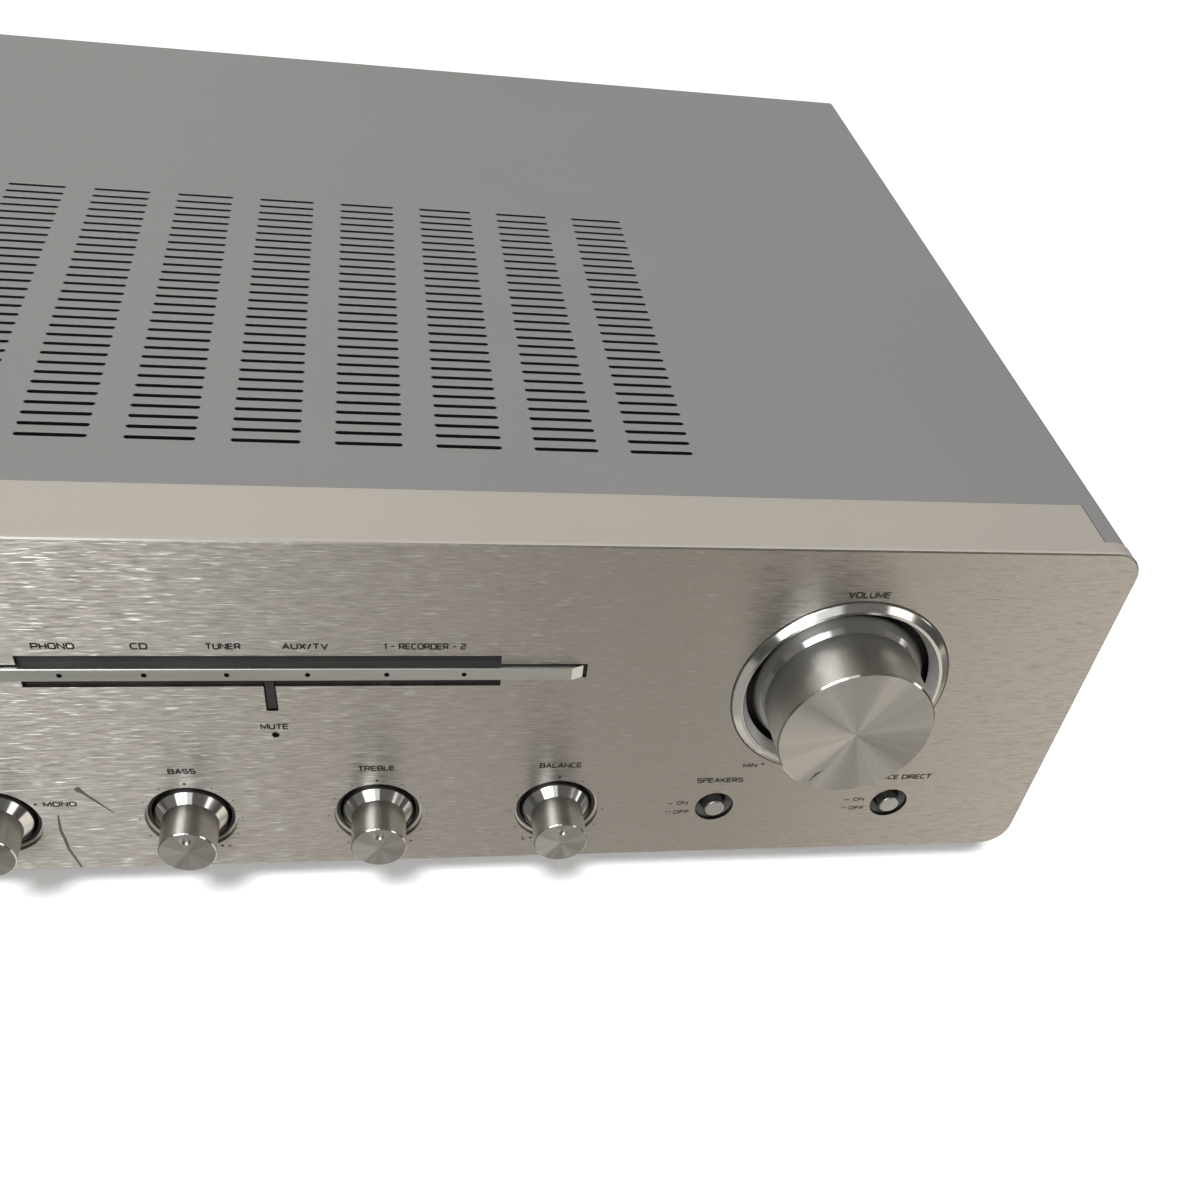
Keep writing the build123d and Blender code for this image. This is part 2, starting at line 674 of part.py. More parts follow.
def foot(x, y):
    """Moulded round foot with a screw recess and a seat for its pad."""
    bottom = -FOOT_H + PAD_T - 0.8
    profile = [
        (2.2, TRAY_Z[0]),
        (FOOT_R - 1, TRAY_Z[0]),
        (FOOT_R, TRAY_Z[0] - 1),
        (FOOT_R - 1.5, bottom + 0.8),
        (FOOT_R - 2.3, bottom),
        (20.5, bottom),
        (20.5, bottom + 0.8),
        (7.5, bottom + 0.8),
        (5.5, bottom + 0.8),
        (5.5, -4.0),
        (2.2, -4.0),
    ]
    face = Plane.XZ * make_face(Polyline(*profile, close=True))
    return Pos(x, y, 0) * revolve(face, Axis.Z)


def foot_pad(x, y):
    """Rubber ring under a foot."""
    z = (-FOOT_H, -FOOT_H + PAD_T)
    return rod_z(x, y, 20.0, z) - rod_z(x, y, 8.0, z)


def foot_screw(x, y):
    """Screw up through the foot into the tray."""
    return Pos(x, y, -4.0) * Rot(180, 0, 0) * pan_screw(1.95, 4.2, 2.6, 9.5)


# ---------------------------------------------------------------- power supply

def transformer_core():
    """Stack of E and I laminations with two windows."""
    x, y = CORE_AT
    width, depth, height = CORE_SIZE
    base = TRAY_Z[1]
    sketch = window((x - width / 2, x + width / 2), (base, base + height))
    for sign in (-1, 1):
        near = x + sign * 15
        far = x + sign * 30
        sketch -= window(sorted((near, far)), (base + 15, base + 60))
    return upright(sketch, (y - depth / 2, y + depth / 2))


def transformer_winding():
    """Bobbin and winding round the core's middle leg, with end cheeks."""
    x, y = CORE_AT
    half_d = CORE_SIZE[1] / 2
    base = TRAY_Z[1] + 15
    coil = block((x - 29, x + 29), (y - half_d - 13, y + half_d + 13), (base + 2.5, base + 42.5))
    for z in ((base + 0.3, base + 2.5), (base + 42.5, base + 44.7)):
        coil += block((x - 29.7, x + 29.7), (y - half_d - 14.5, y + half_d + 14.5), z)
    return coil - block((x - 15.2, x + 15.2), (y - half_d - 0.2, y + half_d + 0.2), (0, 90))


def transformer_bracket():
    """Steel strap over the core, with two feet screwed to the tray."""
    x, y = CORE_AT
    half_w = CORE_SIZE[0] / 2
    top = TRAY_Z[1] + CORE_SIZE[2]
    strap = block((x - half_w - 1.5, x + half_w + 1.5), (y - 16, y + 16), (top, top + 1.5))
    for sign in (-1, 1):
        inner = x + sign * half_w
        leg = sorted((inner, inner + sign * 1.5))
        toe = sorted((inner + sign * 1.5, inner + sign * 14))
        strap += block(leg, (y - 16, y + 16), (TRAY_Z[1], top))
        strap += block(toe, (y - 16, y + 16), (TRAY_Z[1], TRAY_Z[1] + 1.5))
        strap -= rod_z(inner + sign * 8, y, 2.1, (0, 10))
    return strap


def bracket_screws():
    x, y = CORE_AT
    reach = CORE_SIZE[0] / 2 + 8
    screw = pan_screw(1.95, 3.9, 2.3, 1.4)
    return [Pos(x + sign * reach, y, TRAY_Z[1] + 1.5) * screw for sign in (-1, 1)]


# ---------------------------------------------------------------- amplifier

def heat_sink():
    """Extruded aluminium heat sink with upright fins."""
    sketch = Pos((SINK_X[0] + SINK_X[1]) / 2, (SINK_BASE_Y[0] + SINK_BASE_Y[1]) / 2) * Rectangle(
        SINK_X[1] - SINK_X[0], SINK_BASE_Y[1] - SINK_BASE_Y[0]
    )
    fins = 19
    pitch = (SINK_X[1] - SINK_X[0] - 2) / (fins - 1)
    depth = SINK_FIN_BACK - SINK_BASE_Y[1] + 1
    for i in range(fins):
        x = SINK_X[0] + 1 + i * pitch
        sketch += Pos(x, SINK_FIN_BACK - depth / 2) * Rectangle(2, depth)
    return extrude(Plane.XY.offset(BOARD_Z[1]) * sketch, amount=SINK_TOP - BOARD_Z[1])


def power_transistor(x):
    """Flat power transistor on the heat sink, with three leads to the board."""
    front = SINK_BASE_Y[0] - 5
    body = block((x - 8, x + 8), (front, SINK_BASE_Y[0]), (24, 44))
    body = chamfer(body.faces().sort_by(Axis.Y)[0].edges(), 0.6)
    for step in (-5.4, 0, 5.4):
        body += block((x + step - 0.6, x + step + 0.6), (front + 2.5, front + 3.2), (BOARD_Z[1], 24))
    return body


def transistor_screw(x):
    """Screw that clamps a transistor; its head sits on the transistor's front."""
    return Pos(x, SINK_BASE_Y[0] - 5, 37) * Rot(90, 0, 0) * pan_head(3.0, 2.0)


def spacer_places():
    xs = (BOARD_X[0] + 8, 56.0, BOARD_X[1] - 8)
    return [(x, y) for x in xs for y in (BOARD_Y[0] + 8, BOARD_Y[1] - 8)]


def main_board():
    """Amplifier board across the tray."""
    board = block(BOARD_X, BOARD_Y, BOARD_Z)
    for x, y in spacer_places():
        board -= rod_z(x, y, 1.7, (8, 12))
    return board


def board_spacer(x, y):
    """Hexagon spacer between tray and board."""
    sketch = Pos(x, y) * RegularPolygon(3.0, 6)
    return extrude(Plane.XY.offset(TRAY_Z[1]) * sketch, amount=BOARD_Z[0] - TRAY_Z[1])


def board_screw(x, y):
    return Pos(x, y, BOARD_Z[1]) * pan_screw(1.45, 2.9, 1.9, 1.6)


def filter_capacitor(x):
    """Large reservoir capacitor: sleeve with a rolled groove and a vented top."""
    z = BOARD_Z[1]
    profile = [
        (0, z),
        (17.0, z),
        (17.5, z + 0.6),
        (17.5, z + 4),
        (16.9, z + 5),
        (17.5, z + 6),
        (17.5, z + 49),
        (16.5, z + 50),
        (15.0, z + 49.4),
        (0, z + 49.4),
    ]
    face = Plane.XZ * make_face(Polyline(*profile, close=True))
    return Pos(x, CAPACITOR_Y, 0) * revolve(face, Axis.Z)


def board_components():
    """Rectifier, speaker relay, mains fuse and small capacitors on the main board."""
    z = BOARD_Z[1]
    rectifier = block((136, 154), (205, 211), (z + 3, z + 24))
    rectifier += [
        block((x - 0.5, x + 0.5), (207.5, 208.5), (z, z + 3)) for x in (138, 142.7, 147.3, 152)
    ]
    relay = fillet(block((-40, -12), (262, 275), (z, z + 22)).edges().filter_by(Axis.Z), 1)
    small = [
        rod_z(x, y, 4.0, (z, z + 13))
        for x in (-70, -45, -20, 5, 30, 55, 80)
        for y in (88, 118)
    ]
    chips = [block((x, x + 19), (235, 242), (z, z + 4)) for x in (60, 95, 130)]
    fuse_clips = [
        block((x, x + 5), (240, 247), (z, z + 8)) - rod_x(243.5, z + 6, 2.5, (x - 1, x + 6))
        for x in (-75, -60)
    ]
    fuse = rod_x(243.5, z + 6, 2.5, (-75, -55))
    return [rectifier, relay, fuse] + small + chips + fuse_clips


def tone_board():
    """Board under the tone controls and the push switches."""
    return block((-188, 190), (13.0, 60.0), TONE_BOARD_Z)


# ---------------------------------------------------------------- rear connectors

def input_jack_block():
    """Insulating body of the sixteen phono jacks, with collars through the rear panel."""
    x = (JACK_XS[0] - 9, JACK_XS[-1] + 9)
    body = block(x, (296.0, CASE_BACK - STEEL), (JACK_ZS[0] - 9, JACK_ZS[1] + 9))
    for jack_x in JACK_XS:
        for jack_z in JACK_ZS:
            body += rod_y(jack_x, jack_z, 6.0, (300, JACK_FLANGE_BACK))
            body += rod_y(jack_x, jack_z, 3.7, (300, JACK_BACK - 1))
            body -= rod_y(jack_x, jack_z, JACK_BORE_R, (308, JACK_BACK))
    return body


def jack_shells():
    """Plated sleeves of the phono jacks."""
    return [
        rod_y(x, z, JACK_SHELL_R, (JACK_FLANGE_BACK, JACK_BACK))
        - rod_y(x, z, 3.7, (JACK_FLANGE_BACK - 1, JACK_BACK + 1))
        for x in JACK_XS
        for z in JACK_ZS
    ]


def speaker_terminal_block():
    """Insulating plate of the speaker terminals, let into the rear panel."""
    x = (POST_XS[0] - 11, POST_XS[-1] + 11)
    plate = block(x, (CASE_BACK, CASE_BACK + 3), (POST_Z - 11, POST_Z + 11))
    plate = chamfer(plate.faces().sort_by(Axis.Y)[-1].edges(), 0.8)
    plate += block((POST_XS[0] - 7.8, POST_XS[-1] + 7.8), (304, CASE_BACK), (POST_Z - 7.8, POST_Z + 7.8))
    for post_x in POST_XS:
        plate -= rod_y(post_x, POST_Z, POST_R, (303, CASE_BACK + 4))
    return plate


def terminal_posts():
    """Metal posts of the speaker terminals, with banana bores, and the ground stud."""
    posts = []
    for x in POST_XS:
        post = rod_y(x, POST_Z, POST_R, (298, TERMINAL_BACK - 0.8))
        post += rod_y(x, POST_Z, 5.2, (CASE_BACK + 3, CASE_BACK + 4.2))
        post -= rod_y(x, POST_Z, BANANA_R, (TERMINAL_BACK - 0.8 - BANANA_DEPTH, TERMINAL_BACK))
        posts.append(post)
    x, z = GROUND_AT
    stud = rod_y(x, z, GROUND_STUD_R, (302, GROUND_BACK - 2))
    stud += rod_y(x, z, 5.0, (CASE_BACK, CASE_BACK + 1.2))
    stud += rod_y(x, z, 3.0, (302, CASE_BACK))
    posts.append(stud)
    return posts


def terminal_cap(x):
    """Ribbed insulated nut on a speaker post, open at its end for a banana plug."""
    front, back = CAP_Y
    profile = [
        (POST_R + RUNNING, front),
        (5.2, front),
        (CAP_R - 0.4, front + 0.6),
        (CAP_R - 0.4, back - 1.2),
        (CAP_R - 1.4, back),
        (POST_R + RUNNING, back),
    ]
    cap = turned(profile, x, POST_Z)
    rib = block((-0.7, 0.7), (front + 0.8, back - 1.4), (CAP_R - 0.9, CAP_R))
    for i in range(12):
        cap += Pos(x, 0, POST_Z) * Rot(0, 30 * i, 0) * rib
    return cap


def ground_thumbscrew():
    """Knurled nut on the ground stud."""
    x, z = GROUND_AT
    nut = rod_y(x, z, 5.0, (CASE_BACK + 2.2, GROUND_BACK))
    nut = chamfer(nut.faces().sort_by(Axis.Y)[-1].edges(), 0.6)
    for i in range(24):
        angle = radians(15 * i)
        groove = rod_y(x + 5.2 * sin(angle), z + 5.2 * cos(angle), 0.45, (CASE_BACK + 2, GROUND_BACK + 1))
        nut -= groove
    return nut - rod_y(x, z, GROUND_STUD_R + RUNNING, (CASE_BACK + 2, GROUND_BACK - 1.5))


def inlet_outline(width, height, corner):
    """Outline of a three-pin inlet: a rectangle with its two upper corners cut."""
    half_w = width / 2
    half_h = height / 2
    x, z = INLET_AT
    outline = Polyline(
        (-half_w, -half_h),
        (half_w, -half_h),
        (half_w, half_h - corner),
        (half_w - corner, half_h),
        (-half_w + corner, half_h),
        (-half_w, half_h - corner),
        close=True,
    )
    return Pos(x, z) * make_face(outline)


def ac_inlet():
    """Three-pin mains inlet with its flange outside the rear panel."""
    x, z = INLET_AT
    flange = Pos(x, z) * RectangleRounded(50, 23.5, 4)
    flange -= holes([(screw_x, z) for screw_x in INLET_SCREW_XS], 1.7)
    body = upright(flange, (CASE_BACK, INLET_FRONT))
    body += upright(inlet_outline(28, 20.4, 5.5), (294.0, CASE_BACK))
    return body - upright(inlet_outline(*INLET_CAVITY, 5.0), (INLET_FLOOR, INLET_FRONT + 1))


def inlet_pins():
    """The inlet's three flat pins and their tabs inside."""
    x, z = INLET_AT
    pins = []
    for dx, dz in ((-7, -2), (7, -2), (0, 2)):
        pin = block((x + dx - 1, x + dx + 1), (INLET_FLOOR, 311.5), (z + dz - 2, z + dz + 2))
        pins.append(chamfer(pin.faces().sort_by(Axis.Y)[-1].edges(), 0.4))
        pins.append(block((x + dx - 0.4, x + dx + 0.4), (286, 294), (z + dz - 3, z + dz + 3)))
    return pins


def build_all():
    os.makedirs("parts", exist_ok=True)
    save("front_panel", front_panel())
    save("front_bezel", front_bezel())
    save("inner_front_plate", inner_front_plate())
    save("knob_wells", *knob_wells())
    save("knob_rings", *knob_rings())
    save("indicator_channel", indicator_channel())
    save("indicator_bar", indicator_bar())
    save("indicator_board", *indicator_board())
    save("button_bezels", *[button_bezel(x) for x in BUTTON_XS])
    save("remote_sensor", remote_sensor())
    save("headphone_jack", headphone_jack())

    save("volume_knob", big_knob(BIG_X, VOLUME_REST))
    save("volume_shaft", shaft(BIG_X, BIG_Z, -12, 43))
    save("volume_gear", volume_gear())
    save("motor_pinion", motor_pinion())
    save("volume_pot", volume_pot())
    save("volume_motor", volume_motor())
    save("selector_knob", big_knob(-BIG_X, 0.0))
    save("selector_shaft", shaft(-BIG_X, BIG_Z, -12, 21.5))
    save("selector_switch", selector_switch())
    for name, x, turn in zip(SMALL_NAMES, SMALL_XS, SMALL_TURNS):
        save(f"{name}_knob", small_knob(x, turn))
        save(f"{name}_shaft", shaft(x, ROW_Z, -8, 18.5))
    save("tone_pots", *[tone_pot(x) for x in SMALL_XS])
    for name, x in zip(BUTTON_NAMES, BUTTON_XS):
        save(f"{name}_button", push_button(x))
    save("button_switches", *[push_switch(x) for x in BUTTON_XS])

    save("top_cover", top_cover())
    save("chassis_tray", chassis_tray())
    save("rear_panel", rear_panel())
    feet = [(x, y) for x in FOOT_XS for y in FOOT_YS]
    save("feet", *[foot(x, y) for x, y in feet])
    save("foot_pads", *[foot_pad(x, y) for x, y in feet])
    save("case_screws", *case_screws(), *[foot_screw(x, y) for x, y in feet])

    save("transformer_core", transformer_core())
    save("transformer_winding", transformer_winding())
    save("transformer_bracket", transformer_bracket())
    save("heat_sink", heat_sink())
    save("power_transistors", *[power_transistor(x) for x in TRANSISTOR_XS])
    save("main_board", main_board())
    save("board_spacers", *[board_spacer(x, y) for x, y in spacer_places()])
    screws = [board_screw(x, y) for x, y in spacer_places()]
    screws += [transistor_screw(x) for x in TRANSISTOR_XS]
    save("inner_screws", *screws, *bracket_screws())
    save("filter_capacitors", *[filter_capacitor(x) for x in CAPACITOR_XS])
    save("board_components", *board_components())
    save("tone_board", tone_board())

    save("input_jack_block", input_jack_block())
    save("input_jack_shells", *jack_shells())
    save("speaker_terminal_block", speaker_terminal_block())
    save("terminal_posts", *terminal_posts())
    for name, x in zip(POST_NAMES, POST_XS):
        save(f"speaker_cap_{name}", terminal_cap(x))
    save("ground_thumbscrew", ground_thumbscrew())
    save("ac_inlet", ac_inlet(), *inlet_pins())


build_all()
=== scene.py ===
import json
import math

import bmesh
import bpy
from mathutils import Matrix, Vector


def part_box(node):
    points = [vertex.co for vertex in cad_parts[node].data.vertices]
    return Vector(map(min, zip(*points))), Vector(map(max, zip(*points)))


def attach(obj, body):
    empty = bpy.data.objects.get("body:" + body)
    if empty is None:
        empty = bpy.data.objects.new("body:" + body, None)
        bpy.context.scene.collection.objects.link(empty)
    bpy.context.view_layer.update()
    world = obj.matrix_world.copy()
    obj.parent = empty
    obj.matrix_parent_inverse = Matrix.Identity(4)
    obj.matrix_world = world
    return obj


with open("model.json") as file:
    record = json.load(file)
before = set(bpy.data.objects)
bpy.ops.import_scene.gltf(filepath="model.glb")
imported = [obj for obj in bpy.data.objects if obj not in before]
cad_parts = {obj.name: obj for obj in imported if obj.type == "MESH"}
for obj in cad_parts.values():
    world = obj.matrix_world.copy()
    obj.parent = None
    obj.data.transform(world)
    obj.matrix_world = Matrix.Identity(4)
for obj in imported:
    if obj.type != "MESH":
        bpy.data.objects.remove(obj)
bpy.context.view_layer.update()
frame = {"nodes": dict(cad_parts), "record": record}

MM = 0.001

# Places taken from the frame, in metres
PANEL_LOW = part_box("front_panel")[0]
FACE_Y = PANEL_LOW.y
PANEL_BOTTOM = PANEL_LOW.z
BACK_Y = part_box("rear_panel")[1].y


def centre(node):
    """The middle of a CAD node's box."""
    low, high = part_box(node)
    return (low + high) / 2


BIG_KNOBS = {"volume": centre("volume_knob"), "selector": centre("selector_knob")}
SMALL_KNOBS = {name: centre(f"{name}_knob") for name in ("mode", "bass", "treble", "balance")}
BUTTONS = {name: centre(f"{name}_button") for name in ("power", "speaker", "direct")}
BAR_Z = centre("indicator_bar").z


# ---------------------------------------------------------------- node graphs

USUAL_NOISE = (0.3, 0.7)     # the range that most of a noise's values fall in


class Graph:
    """A node tree; its methods add nodes and return their output sockets."""

    def __init__(self, tree, point):
        self.tree = tree
        self.point = self.add("ShaderNodeTexCoord").outputs[point]

    def add(self, kind, **settings):
        node = self.tree.nodes.new(kind)
        for key, value in settings.items():
            setattr(node, key, value)
        return node

    def join(self, socket, value):
        """Links a socket, or sets its own value."""
        if isinstance(value, bpy.types.NodeSocket):
            self.tree.links.new(value, socket)
        else:
            socket.default_value = value

    def stretched(self, scale, vector=None):
        node = self.add("ShaderNodeMapping")
        self.join(node.inputs["Vector"], vector or self.point)
        node.inputs["Scale"].default_value = scale
        return node.outputs["Vector"]

    def noise(self, scale, detail=2.0, roughness=0.5, vector=None):
        """Noise with its own scale per axis, in cells per metre; its values lie around 0.5."""
        node = self.add("ShaderNodeTexNoise")
        self.join(node.inputs["Vector"], self.stretched(scale, vector))
        node.inputs["Scale"].default_value = 1.0
        node.inputs["Detail"].default_value = detail
        node.inputs["Roughness"].default_value = roughness
        return node.outputs["Fac"]

    def cells(self, scale, feature="F1"):
        """Voronoi cells; returns the node."""
        node = self.add("ShaderNodeTexVoronoi", feature=feature)
        self.join(node.inputs["Vector"], self.stretched(scale))
        node.inputs["Scale"].default_value = 1.0
        return node

    def math(self, operation, first, second=0.0):
        node = self.add("ShaderNodeMath", operation=operation)
        self.join(node.inputs[0], first)
        self.join(node.inputs[1], second)
        return node.outputs[0]

    def vector_math(self, operation, first, second=(0.0, 0.0, 0.0)):
        node = self.add("ShaderNodeVectorMath", operation=operation)
        self.join(node.inputs[0], first)
        self.join(node.inputs[1], second)
        return node.outputs["Vector"]

    def spread(self, value, before, after):
        """Maps a value from one range to another, clamped."""
        node = self.add("ShaderNodeMapRange")
        self.join(node.inputs["Value"], value)
        node.inputs["From Min"].default_value = before[0]
        node.inputs["From Max"].default_value = before[1]
        node.inputs["To Min"].default_value = after[0]
        node.inputs["To Max"].default_value = after[1]
        return node.outputs["Result"]

    def mix(self, factor, first, second):
        """Mixes two colours, given as three numbers or sockets."""
        node = self.add("ShaderNodeMix", data_type="RGBA")
        sockets = [s for s in node.inputs if s.enabled]
        values = [factor] + [(*c, 1.0) if isinstance(c, tuple) else c for c in (first, second)]
        for socket, value in zip(sockets, values):
            self.join(socket, value)
        return [s for s in node.outputs if s.enabled][0]

    def length(self, vector):
        """A vector's length."""
        node = self.add("ShaderNodeVectorMath", operation="LENGTH")
        self.join(node.inputs[0], vector)
        return node.outputs["Value"]

    def vector(self, x=0.0, y=0.0, z=0.0):
        """A vector made of three numbers or sockets."""
        node = self.add("ShaderNodeCombineXYZ")
        for socket, value in zip(node.inputs, (x, y, z)):
            self.join(socket, value)
        return node.outputs[0]

    def parts(self, vector):
        """The three components of a vector."""
        node = self.add("ShaderNodeSeparateXYZ")
        self.join(node.inputs[0], vector)
        return node.outputs

    def across(self, centre):
        """The offset from a centre, flattened onto the front's own plane."""
        return self.vector_math("MULTIPLY", self.vector_math("SUBTRACT", self.point, centre), (1, 0, 1))

    def blend(self, mask, inside, outside):
        """One number where a mask is 1 and another where it is 0."""
        return self.spread(mask, (0.0, 1.0), (outside, inside))

    def shade(self, colour, value, amount, before=USUAL_NOISE):
        """A colour that a value makes darker or lighter by a share of itself."""
        dark = tuple(c * (1 - amount) for c in colour)
        light = tuple(min(1.0, c * (1 + amount)) for c in colour)
        return self.mix(self.spread(value, before, (0.0, 1.0)), dark, light)

    def axes(self):
        """The three coordinates of the point."""
        return self.parts(self.point)


def between(graph, value, limits, soft):
    """1 between two limits, with soft edges."""
    low, high = limits
    rise = graph.spread(value, (low - soft / 2, low + soft / 2), (0.0, 1.0))
    fall = graph.spread(value, (high - soft / 2, high + soft / 2), (1.0, 0.0))
    return graph.math("MULTIPLY", rise, fall)


class Surface(Graph):
    """A new material; keywords set the shader's own values."""

    def __init__(self, name, **values):
        self.material = bpy.data.materials.new(name)
        self.material.use_nodes = True
        super().__init__(self.material.node_tree, "Object")
        self.shader = self.tree.nodes["Principled BSDF"]
        for key, value in values.items():
            self.put(key.replace("_", " ").title(), value)

    def put(self, name, value):
        """Gives one of the shader's inputs a link or a value; colours may leave out alpha."""
        if isinstance(value, tuple) and len(value) == 3:
            value = (*value, 1.0)
        self.join(self.shader.inputs[name], value)

    def sloping(self, low, high):
        """1 where the surface faces forwards by a share between two limits, 0 elsewhere."""
        facing = self.parts(self.add("ShaderNodeNewGeometry").outputs["True Normal"])
        forwards = self.math("ABSOLUTE", facing["Y"])
        return between(self, forwards, (low, high), 0.02)

    def within(self, node, side, end):
        """1 inside a CAD node's outline by some millimetres, across X and Z, 0 near its edges."""
        low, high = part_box(node)
        x, y, z = self.axes()
        across = between(self, x, (low.x + side * MM, high.x - side * MM), 0.1 * MM)
        up = between(self, z, (low.z + end * MM, high.z - end * MM), 0.1 * MM)
        return self.math("MULTIPLY", across, up)

    def worn_edges(self, radius):
        """The surface's normal, with sharp edges rounded to a radius in millimetres."""
        node = self.add("ShaderNodeBevel", samples=6)
        node.inputs["Radius"].default_value = radius * MM
        return node.outputs["Normal"]

    def bump(self, height, depth, normal=None):
        """Raises the surface by a height of 0 to 1 times a depth in metres."""
        node = self.add("ShaderNodeBump")
        self.join(node.inputs["Height"], height)
        node.inputs["Distance"].default_value = depth
        if normal:
            self.join(node.inputs["Normal"], normal)
        self.put("Normal", node.outputs["Normal"])

    def tangent(self, direction):
        """Sets the direction that reflections stretch along."""
        self.join(self.shader.inputs["Tangent"], self.vector(*direction))

    def radial_tangent(self):
        """Tangent round the object's own Y axis, as on a turned piece."""
        node = self.add("ShaderNodeTangent", direction_type="RADIAL", axis="Y")
        self.join(self.shader.inputs["Tangent"], node.outputs[0])


# ---------------------------------------------------------------- metals

PANEL_COLOUR = (0.60, 0.565, 0.52)
FLECK_COLOUR = (0.96, 0.93, 0.89)
PAINT_COLOUR = (0.545, 0.507, 0.453)
COVER_COLOUR = (0.27, 0.267, 0.262)
KNOB_COLOUR = (0.62, 0.61, 0.585)
# darker copy of the knob metal for the faces: painted shade
FACE_SHADE_COLOUR = (0.44, 0.43, 0.412)
RING_COLOUR = (0.66, 0.65, 0.63)
# darker colour of a ring's recessed funnel: painted shade
FUNNEL_SHADE_COLOUR = (0.40, 0.395, 0.38)
# dark colour of the walls of the panel's holes: painted shade
HOLE_WALL_SHADE_COLOUR = (0.13, 0.125, 0.12)
# near-black colour of the cover's slot walls and inside faces: painted shade
SLOT_WALL_SHADE_COLOUR = (0.004, 0.004, 0.004)
PANEL_RIM = 2.0                    # margin of the panel's outer edge, in millimetres
FUNNEL_R = (26.5, 26.8)            # where a ring's funnel gives way to its lip, in millimetres


def brushed_aluminium(name):
    """Panel skin: short streaks and flecks, blurred upright, with a painted rim, and hole walls
    darkened with painted shade.
    """
    look = Surface(name, metallic=1.0, anisotropic=0.85)
    look.tangent((0.0, 0.0, 1.0))
    clumps = look.noise((170, 1, 1500), detail=2.0)
    fine = look.noise((260, 1, 3600), detail=2.0)
    grain = look.math("ADD", look.math("MULTIPLY", clumps, 0.6), look.math("MULTIPLY", fine, 0.4))
    fleck = look.spread(look.noise((190, 1, 2300), detail=1.0), (0.60, 0.72), (0.0, 1.0))
    metal = look.shade(PANEL_COLOUR, grain, 0.30)
    streaks = look.mix(look.math("MULTIPLY", fleck, 0.8), metal, FLECK_COLOUR)
    inside = look.within("front_panel", PANEL_RIM, PANEL_RIM)
    # painted shade: the walls of the panel's holes take a dark colour
    shaded_wall = look.math("MULTIPLY", look.sloping(0.0, 0.8), inside)
    rim = look.math("MULTIPLY", look.sloping(-0.1, 0.3), look.math("SUBTRACT", 1.0, inside))
    look.put("Base Color", look.mix(rim, look.mix(shaded_wall, streaks, HOLE_WALL_SHADE_COLOUR), PAINT_COLOUR))
    look.put("Metallic", look.blend(rim, 0.4, 1.0))
    look.put("Roughness", look.spread(grain, USUAL_NOISE, (0.44, 0.36)))
    uneven = look.spread(grain, USUAL_NOISE, (-0.20, 0.20))
    lean = look.math("ADD", uneven, look.math("MULTIPLY", fleck, 0.25))
    tilted = look.vector_math("ADD", look.worn_edges(0.1), look.vector(z=lean))
    look.bump(fine, 0.002 * MM, normal=tilted)
    return look.material


def turned_aluminium(name):
    """Knobs: face with rings, painted in a darker shaded copy of the metal with painted reflection
    sectors that are lighter on the left; plain satin sides, and polished cone and chamfer.
    """
    look = Surface(name, metallic=1.0, anisotropic=0.92, anisotropic_rotation=0.25)
    look.radial_tangent()
    middle = look.add("ShaderNodeTexCoord").outputs["Generated"]
    offset = look.vector_math("SUBTRACT", middle, (0.5, 0.0, 0.5))
    flat = look.vector_math("MULTIPLY", offset, (1, 0, 1))
    polished = look.sloping(0.60, 0.72)
    face = look.sloping(0.75, 1.1)
    along = look.vector(look.length(flat), look.axes()["Y"])
    rings = look.math("MULTIPLY", look.noise((350, 6000, 1), detail=1.0, vector=along), face)
    outwards = look.vector_math("NORMALIZE", flat)
    # painted reflection: sectors of light and dark round the face, made lighter towards the left
    painted_sectors = look.noise((2.6, 1, 2.6), detail=1.5, vector=outwards)
    painted_sectors = look.math("SUBTRACT", painted_sectors, look.math("MULTIPLY", look.parts(outwards)["X"], 0.13))
    # painted shade: the face takes a darker copy of the knob metal than the sides
    metal = look.mix(face, KNOB_COLOUR, look.shade(FACE_SHADE_COLOUR, painted_sectors, 0.22))
    look.put("Base Color", look.mix(polished, metal, RING_COLOUR))
    satin = look.spread(rings, USUAL_NOISE, (0.265, 0.285))
    look.put("Roughness", look.math("SUBTRACT", satin, look.math("MULTIPLY", polished, 0.15)))
    look.bump(rings, 0.00007 * MM)
    return look.material


def bright_ring(name):
    """Rings round the large knobs: polished bevel and lip, satin funnel darkened with painted shade,
    turned round each centre.
    """
    look = Surface(name, metallic=1.0, anisotropic=0.6)
    big = BIG_KNOBS["volume"]
    side = look.math("SIGN", look.axes()["X"])
    flat = look.across(look.vector(look.math("MULTIPLY", side, big.x), z=big.z))
    look.join(look.shader.inputs["Tangent"], flat)
    radius = look.length(flat)
    turned = look.noise((6000, 1, 1), detail=1.0, vector=look.vector(radius))
    funnel = look.spread(radius, (FUNNEL_R[0] * MM, FUNNEL_R[1] * MM), (1.0, 0.0))
    # painted shade: the recessed funnel takes a darker, less metallic colour
    look.put("Base Color", look.mix(funnel, look.shade(RING_COLOUR, turned, 0.05), FUNNEL_SHADE_COLOUR))
    look.put("Metallic", look.blend(funnel, 0.4, 1.0))
    polish = look.spread(turned, USUAL_NOISE, (0.10, 0.15))
    look.put("Roughness", look.math("ADD", polish, look.math("MULTIPLY", funnel, 0.3)))
    look.bump(turned, 0.001 * MM, normal=look.worn_edges(0.3))
    return look.material


def satin_metal(name, colour, roughness=0.35, grain=(900, 900, 900)):
    """Plain satin metal with a fine even grain."""
    look = Surface(name, metallic=1.0)
    fine = look.noise(grain, detail=2.0)
    look.put("Base Color", look.shade(colour, fine, 0.06))
    look.put("Roughness", look.spread(fine, USUAL_NOISE, (roughness - 0.05, roughness + 0.05)))
    look.bump(fine, 0.003 * MM)
    return look.material


